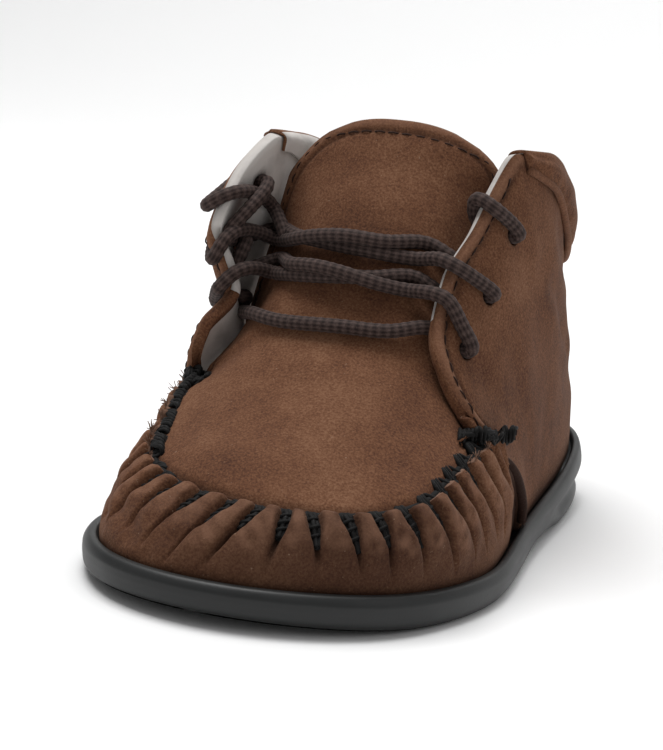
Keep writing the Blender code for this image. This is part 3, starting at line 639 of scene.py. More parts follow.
@dataclass(frozen=True)
class SoleRubber:
    """Injection-moulded carbon-filled rubber: charcoal rather than black, with the soft broad highlight
    of a matt tool surface and a little dust in its texture."""

    name: str = "moulded_rubber"
    base: str = "#151616"
    dusty: str = "#222323"
    cloud_mm: float = 9.0
    grain_mm: float = 0.45

    def make(self) -> bpy.types.Material:
        """Builds the node material."""
        nodes = Nodes(self.name)
        cloud = nodes.noise(self.cloud_mm, 6.0)
        rough = nodes.spread(cloud, to_min=0.40, to_max=0.58)
        relief = nodes.bump(nodes.noise(self.grain_mm, 2.0), 0.22, 0.08)
        return nodes.finish(nodes.blend(cloud, self.base, self.dusty), rough, relief, Specular_IOR_Level=0.42)


@dataclass(frozen=True)
class LiningLeather:
    """Undyed pigskin lining: pale, dry and smooth, with the pores of its grain and grey handling marks."""

    name: str = "lining_leather"
    pale: str = "#CFC9C4"
    grey: str = "#A39D99"
    cloud_mm: float = 7.0
    pore_mm: float = 0.7

    def make(self) -> bpy.types.Material:
        """Builds the node material."""
        nodes = Nodes(self.name)
        handled = nodes.spread(nodes.noise(self.cloud_mm, 4.0), from_min=0.45, from_max=0.75)
        pores = nodes.add("TexVoronoi", {"Vector": nodes.place, "Scale": per_mm(self.pore_mm)})
        relief = nodes.bump(pores.outputs["Distance"], 0.30, 0.10)
        return nodes.finish(nodes.blend(handled, self.pale, self.grey), 0.62, relief)


@dataclass(frozen=True)
class Yarn:
    """Spun and waxed yarn, for the braided lace and the sewing thread: matt, near black, its twist
    catching a little light on each crown."""

    name: str
    deep: str
    crown: str
    fibre_mm: float
    rough: float

    def make(self) -> bpy.types.Material:
        """Builds the node material."""
        nodes = Nodes(self.name)
        crest, fibre = nodes.mark("wear_and_highlight"), nodes.noise(self.fibre_mm, 3.0)
        lift = nodes.add("Math", {0: crest, 1: fibre}, operation="MULTIPLY").outputs[0]
        colour = nodes.blend(lift, self.deep, self.crown)
        relief = nodes.bump(fibre, 0.5, 0.08)
        return nodes.finish(colour, self.rough, relief, Specular_IOR_Level=0.2, Sheen_Weight=0.03)


@dataclass(frozen=True)
class CutEdge:
    """Raw cut edge of the leather: the loose corium fibres show, paler and rougher than the nap."""

    name: str = "cut_edge"
    pale: str = "#8B6A56"
    deep: str = "#513629"
    fibre_mm: float = 0.6

    def make(self) -> bpy.types.Material:
        """Builds the node material."""
        nodes = Nodes(self.name)
        fibre = nodes.noise(self.fibre_mm, 5.0)
        return nodes.finish(nodes.blend(fibre, self.deep, self.pale), 0.95, nodes.bump(fibre, 0.8, 0.25))


@dataclass(frozen=True)
class StudioPaper:
    """Matt white backdrop paper with a faint tooth."""

    name: str = "studio_paper"
    base: str = "#FAFAFA"
    tooth_mm: float = 1.2

    def make(self) -> bpy.types.Material:
        """Builds the node material."""
        nodes = Nodes(self.name)
        return nodes.finish(self.base, 0.85, nodes.bump(nodes.noise(self.tooth_mm, 2.0), 0.03, 0.1))


class Wardrobe:
    """Makes each material once."""

    def __init__(self) -> None:
        """Builds the finishes that the pieces share."""
        self.nubuck = Nubuck().make()
        self.rubber = SoleRubber().make()
        self.lining = LiningLeather().make()
        self.lace = Yarn("braided_lace", "#1A100E", "#74605A", 0.35, 0.78).make()
        self.thread = Yarn("waxed_thread", "#030202", "#0F0C0B", 0.3, 0.7).make()
        self.seam_thread = Yarn("seam_thread", "#26160F", "#412B21", 0.3, 0.8).make()
        self.edge = CutEdge().make()


@dataclass
class Mesh:
    """A mesh being put together, in millimetres of the working frame."""

    points: list = field(default_factory=list)
    faces: list = field(default_factory=list)
    kinds: list = field(default_factory=list)
    painted_shade: list = field(default_factory=list)
    wear_and_highlight: list = field(default_factory=list)

    def add(self, points: np.ndarray, faces: list, kind: object = 0, painted_shade: object = 0.0, wear_and_highlight: object = 0.0) -> None:
        """Adds points and faces.

        Args:
            points: Places, of any shape that ends in xyz.
            faces: Corner numbers counted from this batch's first point.
            kind: Number of the material, or one for each face.
            painted_shade: Painted shade, the darkening of each point, or one value.
            wear_and_highlight: Lightening for wear and painted highlight, of each point, or one value.
        """
        points = np.asarray(points, float).reshape(-1, 3)
        base = len(self.points)
        self.points.extend(points)
        self.faces.extend(tuple(c + base for c in f) for f in faces)
        self.kinds.extend(np.broadcast_to(np.ravel(kind), len(faces)))
        self.painted_shade.extend(np.broadcast_to(np.ravel(painted_shade), len(points)))
        self.wear_and_highlight.extend(np.broadcast_to(np.ravel(wear_and_highlight), len(points)))

    def tube(self, line: np.ndarray, radius: object, sides: int, wear_and_highlight: object = 0.5, painted_shade: float = 0.0) -> None:
        """Adds a round cord along a line, closed at both ends.

        Args:
            line: Points of its middle.
            radius: One radius, or one for each point and side.
            sides: Points round the cord.
            wear_and_highlight: Lightening for wear and painted highlight, one value or one for each point and side.
            painted_shade: Painted shade, the darkening.
        """
        line = np.asarray(line, float)
        tangent = unit(np.gradient(line, axis=0))
        across = np.zeros_like(line)
        seed = Z_UP if abs(tangent[0, 2]) < 0.9 else np.array([1.0, 0.0, 0.0])
        for i, t in enumerate(tangent):
            seed = seed - t * (seed @ t)
            seed = seed / np.linalg.norm(seed)
            across[i] = seed
        other = np.cross(tangent, across)
        turn = (np.arange(sides) * TAU / sides)[None, :, None]
        ring = across[:, None] * np.cos(turn) + other[:, None] * np.sin(turn)
        count = len(line)
        size = np.broadcast_to(radius, (count, sides))
        faces = grid_faces(count, sides, False, True)
        faces.append(tuple(reversed(range(sides))))
        faces.append(tuple((count - 1) * sides + j for j in range(sides)))
        self.add(line[:, None] + ring * size[:, :, None], faces, 0, painted_shade, wear_and_highlight)

    def loft(self, sections: np.ndarray, closed: bool, kinds: list, painted_shade: np.ndarray, wear_and_highlight: object = 0.0) -> None:
        """Adds closed sections [column][point] joined side by side.

        Args:
            sections: Points of each closed section.
            closed: Whether the last section joins the first.
            kinds: Number of the material of each stretch [point] of a section, or of each column's [column][point].
            painted_shade: Painted shade, the darkening, one for each point.
            wear_and_highlight: Lightening for wear and painted highlight, one value or one for each point.
        """
        cols, count = sections.shape[:2]
        kinds = np.broadcast_to(np.array(kinds), (cols, count))[: cols if closed else cols - 1]
        self.add(sections, grid_faces(cols, count, closed, True), kinds, painted_shade, wear_and_highlight)

    def finish(self, name: str, materials: list, slot: Slot, *stands_for: str) -> bpy.types.Object:
        """Makes the Blender object, which rides on the part's body.

        Args:
            name: Name of the piece.
            materials: Materials in the order of their numbers.
            slot: The record's slot; not used.
            stands_for: CAD nodes that it replaces.

        Returns:
            The object.
        """
        data = bpy.data.meshes.new(name)
        points = (np.array(self.points) + SHIFT) * MM
        data.from_pydata(points.tolist(), [], self.faces)
        for material in materials:
            data.materials.append(material)
        data.polygons.foreach_set("material_index", np.array(self.kinds, np.int32))
        # painted shade, and lightening for wear and painted highlight, carried on the points
        for label, values in (("painted_shade", self.painted_shade), ("wear_and_highlight", self.wear_and_highlight)):
            layer = data.attributes.new(label, "FLOAT", "POINT")
            layer.data.foreach_set("value", np.clip(np.array(values, np.float32), 0.0, 1.0))
        work = bmesh.new()
        work.from_mesh(data)
        bmesh.ops.remove_doubles(work, verts=work.verts, dist=SAME_PLACE)
        bmesh.ops.recalc_face_normals(work, faces=work.faces)
        work.to_mesh(data)
        work.free()
        data.shade_smooth()
        piece = bpy.data.objects.new(name, data)
        bpy.context.scene.collection.objects.link(piece)
        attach(piece, "root")
        if stands_for:
            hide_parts(*stands_for)
        LOG.info("%s: %d faces", name, len(data.polygons))
        return piece


@dataclass
class CupSole:
    """Outsole: a moulded cup with a rolled lip, a lens cut in the side of the heel, and a shallow tread."""

    around: int = 360
    side_rows: int = 34
    floor_inset: float = 8.0
    groove_pitch: float = 5.0
    groove_deep: float = 0.5

    def side(self) -> np.ndarray:
        """Rows of the side (inset, height share, recess share), smoothed through the table."""
        table = np.array(SIDE)
        walk = walked(table[:, :2] / (8, 1))
        at = np.linspace(0, walk[-1], self.side_rows)
        return np.stack([monotone(walk, table[:, i], at) for i in range(3)], 1)

    def build(self, looks: Wardrobe) -> bpy.types.Object:
        """Lofts the sole and closes it underneath and inside."""
        shares = np.arange(self.around) / self.around
        edge, _ = PLAN.sample(shares)
        low, high = tread_height(edge[:, 1]), lip_height(edge[:, 1])
        lens = smooth_step((edge[:, 1] / Y - 0.10) / 0.12)
        rings = []
        for inset, part, recess in self.side():
            drawn, _ = PLAN.sample(shares, inset + SIZES.heel_recess * recess * lens)
            rings.append(np.column_stack([drawn, low + part * (high - low)]))
        for inset in (SIZES.rim_inset - SIZES.gap, self.floor_inset):
            drawn, _ = PLAN.sample(shares, inset)
            rings.append(np.column_stack([drawn, platform_height(drawn[:, 1])]))
        mesh = Mesh()
        mesh.add(np.array(rings), grid_faces(len(rings), self.around, False, True))
        self.close(mesh, rings[0], True)
        self.close(mesh, rings[-1], False)
        return mesh.finish("cup_sole", [looks.rubber], Slot.RUBBER, "outsole")

    def close(self, mesh: Mesh, ring: np.ndarray, tread: bool) -> None:
        """Closes a ring with cross strips, with grooves across them where it is the tread.

        Args:
            mesh: The sole's mesh.
            ring: Points of the ring.
            tread: Whether this is the underside.
        """
        half = self.around // 2
        across = np.linspace(0, 1, 41)
        left, right = ring[: half + 1], np.roll(ring[::-1], 1, 0)[: half + 1]
        grid = left[:, None] * (1 - across)[None, :, None] + right[:, None] * across[None, :, None]
        if tread:
            grid[:, :, 2] = tread_height(grid[:, :, 1])
            inner = smooth_step(np.minimum(across, 1 - across) / 0.12)[None, :]
            wave = np.sin(TAU * (grid[:, :, 1] + 2.0 * np.sin(grid[:, :, 0] / 6.0)) / self.groove_pitch)
            grid[:, :, 2] += self.groove_deep * smooth_step((wave - 0.35) / 0.4) * inner
        mesh.add(grid, grid_faces(*grid.shape[:2]))


@dataclass
class Pleat:
    """How one gather of the vamp differs from the rest."""

    start: float
    rise: float
    dip: float
    fade_from: float


@dataclass
class Upper:
    """Vamp gathered into pleats round the toe, and the two quarters with their folded edges, one shell."""

    per_pleat: int = 20
    quarter_columns: int = 84
    collar_columns: int = 120
    rows: int = 56
    inner_at: tuple = (1.0, 0.965, 0.92, 0.84, 0.70, 0.52, 0.35, 0.18, 0.0)
    rise: float = 1.60
    dip: float = 1.20
    stitch_in: float = 2.4      # stitch line from the edge
    deepest: float = -1.05      # lowest that a gutter may lie, within the leather
    rolled: float = 0.42        # swelling of the folded edge
    groove: float = 0.38        # depth of the stitch line
    torn_pleats: float = 6.5    # gathers at the inner wing whose raw edge stands up
    edge_roll: float = 0.95     # radius of the rolled edge that runs down from each wing
    # painted shade on the rolled edge below each wing
    edge_roll_shade: float = 0.95     # its darkening
    wing: int = 16              # columns beside the end of the gathers that have no lining
    lined_from: float = 0.60    # height from which the lining shows at the edge, as a share of the collar's

    def __post_init__(self) -> None:
        """Chooses the unevenness of the pleats and lays out the columns."""
        rng = np.random.default_rng(7)
        count = SIZES.pleats
        self.pleats = [
            Pleat(
                k + (rng.uniform(-0.10, 0.10) if 0 < k else 0.0),
                self.rise * rng.uniform(0.82, 1.18),
                self.dip * rng.uniform(0.85, 1.2),
                rng.uniform(0.05, 0.24),
            )
            for k in range(count)
        ]
        self.columns()
        self.shape()

    def columns(self) -> None:
        """Shares of the columns, and for the vamp each column's pleat and its place across it."""
        fine = np.linspace(WALL.marks["med_wing"] - 1, WALL.marks["lat_wing"], 400)
        top = WALL.top(fine)
        run = walked(top)
        foot, _ = PLAN.sample(fine, SIZES.rim_inset)
        base = walked(foot)
        blend = 0.75 * run / run[-1] + 0.25 * base / base[-1]
        starts = np.array([p.start for p in self.pleats] + [float(SIZES.pleats)])
        steps, phase, which = [], [], []
        for k in range(SIZES.pleats):
            for j in range(self.per_pleat):
                t = j / self.per_pleat
                steps.append(starts[k] + (starts[k + 1] - starts[k]) * t)
                phase.append(t)
                which.append(k)
        steps.append(float(SIZES.pleats))
        phase.append(0.0)
        which.append(SIZES.pleats - 1)
        self.phase, self.which = np.array(phase), np.array(which)
        front = np.interp(np.array(steps) / SIZES.pleats, blend, fine)
        lat, med = WALL.marks["lat_wing"], WALL.marks["med_wing"]
        lat_corner, med_corner = WALL.marks["lat_corner"], WALL.marks["med_corner"]
        step = 0.0009
        quarter = np.linspace(lat + step, lat_corner, self.quarter_columns)
        collar = np.linspace(lat_corner, med_corner, self.collar_columns)[1:]
        other = np.linspace(med_corner, med - step, self.quarter_columns)[1:]
        self.front = len(front)
        self.shares = np.concatenate([front, quarter, collar, other])

    def pleat_height(self, rows: np.ndarray) -> np.ndarray:
        """Height of the gathers over the smooth vamp [column][row]."""
        t = self.phase[:, None]
        aside = np.minimum(t, 1 - t)
        gutter = 0.05 + 0.13 * smooth_step((rows[None, :] - 0.50) / 0.40)
        crest = smooth_step((aside - 0.35 * gutter) / (1.5 * gutter)) * (0.70 + 0.30 * np.sin(np.pi * t))
        rise = np.array([self.pleats[k].rise for k in self.which])[:, None]
        dip = np.array([self.pleats[k].dip for k in self.which])[:, None]
        start = np.array([self.pleats[k].fade_from for k in self.which])[:, None]
        fade = smooth_step((rows[None, :] - start) / 0.55)
        curl = 1 - 0.20 * smooth_step((rows[None, :] - 0.94) / 0.06)
        height = fade * (-dip + (rise + dip) * crest * curl)
        ends = np.minimum(np.arange(self.front), np.arange(self.front)[::-1]) / (0.9 * self.per_pleat)
        return height * smooth_step(ends)[:, None]

    def shape(self) -> None:
        """Works out the outside, its normals, where painted shade darkens it, and where it is lighter for wear and
        painted highlight.
        """
        rows = np.linspace(0, 1, self.rows) ** 0.92
        self.smooth = WALL.ribs(self.shares, rows)
        self.normal = grid_normals(self.smooth, True)
        n = self.front
        lift = np.zeros(self.smooth.shape[:2])
        lift[:n] = self.pleat_height(rows)
        quarter = self.smooth[n:]
        edge = np.concatenate([self.smooth[n][::3], self.smooth[n:, -1][::2], self.smooth[-1][::-3]])
        far = distance_to_line(quarter, edge)
        collar_part = np.zeros(len(quarter), bool)
        collar_part[self.quarter_columns : self.quarter_columns + self.collar_columns - 1] = True
        fold = self.rolled * bell(far, 1.15, 0.85) - self.groove * bell(far, self.stitch_in, 0.42)
        fold -= 0.45 * smooth_step((0.5 - far) / 0.5)
        near_top = smooth_step((rows - 0.55) / 0.2)[None, :]
        fold[collar_part] *= 1 - near_top
        lift[n:] = SIZES.quarter_step + fold
        self.painted_shade = np.zeros(lift.shape)
        self.wear_and_highlight = np.zeros(lift.shape)
        # painted shade: darker in the gutters, where they sink below the smooth vamp
        ruts = smooth_step((0.1 - lift[:n]) / 0.9) * smooth_step((rows - 0.3) / 0.3)[None, :]
        self.painted_shade[:n] = 0.85 * ruts
        # painted highlight: lighter on the pleat crests, broken up by waves
        self.wear_and_highlight[:n] = 0.30 * smooth_step((lift[:n] - 0.8) / 0.6) * (0.65 + 0.5 * waves(self.smooth[:n], 2.4, 8))
        # painted shade in the stitch groove along the quarters' folded edges
        self.painted_shade[n:] = 0.60 * bell(far, self.stitch_in, 0.45) * (far < 4)
        self.wear_and_highlight[n:] = 0.35 * bell(far, 1.0, 0.8)
        # painted shade on the lowest rows, where the upper meets the sole's lip
        self.painted_shade[:, :3] = np.maximum(self.painted_shade[:, :3], [[0.7, 0.45, 0.2]])
        # painted shade along both wing seams, where vamp and quarter meet
        for first, last in ((n - 7, n + 2), (0, 3)):
            self.painted_shade[first:last] = 0.92
        # painted shade on the front of the toe, where less light falls
        toe = bell(np.arange(n) / n, 0.62, 0.24)[:, None]
        self.painted_shade[:n] = np.maximum(self.painted_shade[:n], 0.62 * toe + 0.4 * self.painted_shade[:n])
        for crease in CREASES:
            lift += crease.lift(self.smooth)
        lift += 0.16 * waves(self.smooth, 15.0, 3) * smooth_step((rows - 0.05) / 0.2)[None, :]
        lift[:n] += 0.20 * waves(self.smooth[:n], 4.5, 5) * smooth_step((rows - 0.1) / 0.3)[None, :]
        lift[:n] = np.maximum(lift[:n], self.deepest)
        lift[:n, 0] = 0
        lift[n:, 0] = SIZES.quarter_step
        self.outer = self.smooth + self.normal * lift[:, :, None]
        self.outer[:, 0, 2] = self.smooth[:, 0, 2]

    def build(self, looks: Wardrobe) -> bpy.types.Object:
        """Makes the shell and punches the eyelets."""
        n = self.front
        step = np.where(np.arange(len(self.shares)) < n, 0.0, SIZES.quarter_step)[:, None]
        pick = np.round((self.rows - 1) * np.array(self.inner_at)).astype(int)
        inner = self.smooth[:, pick] - self.normal[:, pick] * SIZES.leather
        inner[:, -1, 2] = self.smooth[:, 0, 2]
        top, out = self.smooth[:, -1], self.normal[:, -1]
        lead = unit(self.smooth[:, -1] - self.smooth[:, -3])
        torn = np.zeros(len(self.shares))
        torn[:n] = smooth_step((self.torn_pleats - self.which - self.phase) / 1.5)
        torn = (torn * (0.75 + 0.55 * waves(top, 1.6, 31)))[:, None]
        rim = [
            top + out * (step * 0.62 + 0.05 + 0.9 * torn) + lead * (0.16 + 0.9 * torn),
            top - out * (SIZES.leather * 0.45 - 0.8 * torn) + lead * (0.20 + 1.1 * torn),
            top - out * SIZES.leather * 0.8 + lead * 0.10,
        ]
        sections = np.concatenate([self.outer, np.stack(rim, 1), inner], axis=1)
        kinds = np.zeros((len(self.shares), sections.shape[1]), int)
        kinds[:, self.rows - 1 :] = 1
        kinds[:, self.rows - 1] = 2
        kinds[top[:, 2] < self.lined_from * Z, self.rows - 1 : self.rows + 5] = 0
        kinds[:n, self.rows - 1 :] = 2
        kinds[n - 12 : n + self.wing, self.rows - 1 :] = 0
        kinds[-self.wing :, self.rows - 1 :] = 0
        kinds[:12, self.rows - 1 :] = 0
        pad = ((0, 0), (0, sections.shape[1] - self.rows))
        mesh = Mesh()
        mesh.loft(sections, True, kinds, np.pad(self.painted_shade, pad), np.pad(self.wear_and_highlight, pad))
        # rolled edges down from each wing, darkened with painted shade
        for c in (n + 2, len(self.outer) - 3):
            column, away = self.outer[c, 3:-5:6], self.normal[c, 3:-5:6]
            rise = np.linspace(0.1, 0.9, len(column))[:, None]
            mesh.tube(line_through(column + away * rise, 0.5), self.edge_roll, 12, 0.0, self.edge_roll_shade)
        materials = [looks.nubuck, looks.lining, looks.edge]
        self.piece = mesh.finish("upper_leather", materials, Slot.NUBUCK, "upper")
        self.punch(self.piece)
        return self.piece

    def punch(self, piece: bpy.types.Object) -> None:
        """Cuts the eyelet holes through leather and lining."""
        drills = []
        for k, (_, point, normal) in enumerate(eyelet_places(self)):
            bpy.ops.mesh.primitive_cylinder_add(vertices=28, radius=SIZES.eyelet_bore / 2 * MM, depth=7 * MM)
            drill = bpy.context.active_object
            drill.location = Vector((point + SHIFT) * MM)
            drill.rotation_euler = Vector(normal).to_track_quat("Z", "Y").to_euler()
            drills.append(drill)
            cut = piece.modifiers.new("eyelet_%d" % k, "BOOLEAN")
            cut.operation = "DIFFERENCE"
            cut.solver = "EXACT"
            cut.object = drill
        bpy.context.view_layer.update()
        made = piece.evaluated_get(bpy.context.evaluated_depsgraph_get())
        cut_mesh = bpy.data.meshes.new_from_object(made)
        piece.modifiers.clear()
        piece.data = cut_mesh
        for drill in drills:
            bpy.data.objects.remove(drill, do_unlink=True)

    def sheet(self, outside: bool) -> BVHTree:
        """Search tree over one side of the quarters."""
        side = self.outer if outside else self.smooth - self.normal * SIZES.leather
        return surface_tree(side[self.front :, ::2])


@dataclass(frozen=True)
class Crease:
    """A soft trough with a ridge on each side, between two places on the upper (share of the walk round
    the sole, share up the rib)."""

    start: tuple
    end: tuple
    width: float
    depth: float

    def lift(self, surface: np.ndarray) -> np.ndarray:
        """Height that the crease adds to each point of the surface."""
        ends = np.array([WALL.ribs([s], [u])[0, 0] for s, u in (self.start, self.end)])
        middle = WALL.ribs([(self.start[0] + self.end[0]) / 2], [(self.start[1] + self.end[1]) / 2])[0, 0]
        line = line_through([ends[0], middle, ends[1]], 1.5)
        far = distance_to_line(surface, line) / self.width
        return self.depth * (0.5 * np.exp(-((far - 1.9) ** 2)) - np.exp(-(far**2)))


# Main creases: the ankle's bend on both quarters, the corners of the toe and the drag under the collar.
CREASES = [
    Crease((0.335, 0.62), (0.385, 0.40), 2.4, 0.55),
    Crease((0.350, 0.80), (0.410, 0.66), 2.2, 0.35),
    Crease((0.375, 0.30), (0.440, 0.24), 3.0, 0.40),
    Crease((0.652, 0.60), (0.610, 0.42), 2.4, 0.50),
    Crease((0.640, 0.34), (0.590, 0.26), 3.0, 0.40),
    Crease((0.930, 0.50), (0.960, 0.34), 1.6, 0.45),
    Crease((0.900, 0.46), (0.925, 0.28), 1.8, 0.40),
    Crease((0.470, 0.36), (0.540, 0.36), 3.2, 0.35),
]


def eyelet_places(upper: Upper) -> list:
    """Side, point on the outside of the quarter and outward direction of each eyelet."""
    tree = upper.sheet(True)
    places = []
    for side, x, y, z in EYELETS:
        found, normal, _, _ = tree.find_nearest(Vector((x * X, y * Y, z * Z)))
        sign = 1 if side == "lat" else -1
        normal = normal if normal.x * sign > 0 else -normal
        places.append((side, np.array(found), np.array(normal)))
    return places


@dataclass
class Apron:
    """The plug of the toe that runs up into the tongue: one skin, sewn in along the gathers."""

    half: int = 56
    stations_on_seam: int = 78
    stations_free: int = 62
    thick: float = 1.3
    stitch_in: float = 2.4

    def seam_edge(self, side: str, part: np.ndarray) -> tuple:
        """Edge along the seam, and the direction of its thickness. It ducks under the quarter at the wing."""
        start = 0.0 if side == "lat" else 1.0
        shares = start + (WALL.marks[side + "_wing"] - start) * part
        ribs = WALL.ribs(shares, [0.90, 1.0])
        beside = WALL.ribs(shares + 0.002, [1.0])[:, 0]
        lead = unit(ribs[:, 1] - ribs[:, 0])
        normal = unit(np.cross(beside - ribs[:, 1], lead))
        normal *= np.sign(normal[:, 2:3])
        duck = (SIZES.leather + SIZES.gap * 1.8) * smooth_step((part - 0.78) / 0.18)
        return ribs[:, 1] + lead * SIZES.gap * 1.6 - normal * duck[:, None], normal

    def shape(self, upper: Upper) -> None:
        """Works out the outside [station][across] and its normals."""
        on = np.linspace(0.0, SEAM_END, self.stations_on_seam)
        off = SEAM_END + (1 - SEAM_END) * np.linspace(0, 1, self.stations_free + 1)[1:] ** 0.9
        stations = np.concatenate([on, off])
        middle = cubic([r[0] for r in MIDDLE], np.array([r[1:] for r in MIDDLE]) * (X, Y, Z), stations)
        part = 0.55 * np.sqrt(on / SEAM_END) + 0.45 * (on / SEAM_END)
        edges, self.seam_normal = {}, {}
        for side, table in (("lat", TONGUE_LATERAL), ("med", TONGUE_MEDIAL)):
            seam, self.seam_normal[side] = self.seam_edge(side, part)
            knots = np.array([r[1:] for r in table]) * (X, Y, Z)
            at = np.array([SEAM_END] + [r[0] for r in table])
            free = np.stack([monotone(at, np.append(seam[-1, i], knots[:, i]), off) for i in range(3)], 1)
            edges[side] = np.concatenate([seam, free])
        across = np.sin(np.linspace(-1, 1, 2 * self.half + 1) * 1.35) / math.sin(1.35)
        a = np.abs(across)[None, :]
        crown = monotone([0, 0.55, 1.0], [2.0, 2.3, 2.6], stations)[:, None]
        edge = np.where(across[None, :, None] >= 0, edges["lat"][:, None], edges["med"][:, None])
        reach = edge - middle[:, None]
        bent = [reach[..., 0] * a, reach[..., 1] * a**crown, reach[..., 2] * a**crown]
        grid = middle[:, None] + np.stack(bent, -1)
        grid[0] = (edges["lat"][0] + edges["med"][0]) / 2
        self.grid = self.clear(grid, upper)
        self.normal = self.outward(self.grid)
        self.normal[0] = self.normal[1, self.half]
        count = self.stations_on_seam
        for side, rim, near in (("lat", -1, -2), ("med", 0, 1)):
            self.normal[1:count, rim] = self.seam_normal[side][1:]
            self.normal[1:count, near] = unit(self.normal[1:count, near] + self.seam_normal[side][1:])

    def outward(self, grid: np.ndarray) -> np.ndarray:
        """Normals that point away from the foot."""
        normal = grid_normals(grid, False)
        return normal if normal[self.stations_on_seam // 2, self.half, 2] > 0 else -normal

    def clear(self, grid: np.ndarray, upper: Upper) -> np.ndarray:
        """Sinks the tongue where it would touch the inside of a quarter."""
        tree = upper.sheet(False)
        normal = self.outward(grid)
        need = SIZES.gap * 1.7
        out = grid.copy()
        for i in range(self.stations_on_seam // 3, grid.shape[0]):
            for j in range(grid.shape[1]):
                p = Vector(grid[i, j])
                found, face, _, far = tree.find_nearest(p)
                if far > 9.0:
                    continue
                away = face if face.dot(Vector(normal[i, j])) > 0 else -face
                signed = (p - found).dot(away)
                if signed > -need and (p - found - away * signed).length < 1.5:
                    out[i, j] -= np.array(away) * (signed + need)
        return out

    def build(self, looks: Wardrobe, upper: Upper) -> bpy.types.Object:
        """Makes the skin with its lining side."""
        self.shape(upper)
        grid, normal = self.grid, self.normal
        sewn = self.stations_on_seam
        free = np.concatenate([grid[sewn:, 0], grid[-1], grid[sewn:, -1][::-1]])
        far = distance_to_line(grid, free)
        lift = 0.22 * bell(far, 1.1, 0.8) - 0.28 * bell(far, self.stitch_in, 0.40)
        # painted shade in the stitch groove along the free edge
        painted_shade = 0.45 * bell(far, self.stitch_in, 0.45)
        wear_and_highlight = 0.25 * bell(far, 0.8, 0.8)
        seam = np.concatenate([grid[:sewn, 0][::-1], grid[:sewn, -1]])
        near = distance_to_line(grid, seam[::2])
        lift -= 0.5 * np.exp(-((near / 1.3) ** 2))
        # painted shade in the trough along the gathered seam
        painted_shade = np.maximum(painted_shade, 0.55 * np.exp(-((near / 0.9) ** 2)))
        lift += 0.22 * waves(grid, 17.0, 11) * smooth_step(near / 4.0)
        outer = grid + normal * lift[..., None]
        inner = grid - normal * self.thick
        sections = np.concatenate([outer, inner[:, ::-1]], axis=1)
        count = grid.shape[1]
        kinds = np.zeros((len(sections), 2 * count), int)
        kinds[sewn + 6 :] = [0] * (count - 1) + [2] + [1] * (count - 1) + [2]
        pad = ((0, 0), (0, count))
        mesh = Mesh()
        mesh.loft(sections, False, kinds, np.pad(painted_shade, pad), np.pad(wear_and_highlight, pad))
        base = (len(sections) - 1) * 2 * count
        for j in range(count - 1):
            mesh.faces.append(tuple(base + c for c in (j, j + 1, 2 * count - 2 - j, 2 * count - 1 - j)))
            mesh.kinds.append(2)
        materials = [looks.nubuck, looks.lining, looks.edge]
        self.piece = mesh.finish("apron_and_tongue", materials, Slot.NUBUCK, "apron_tongue")
        return self.piece


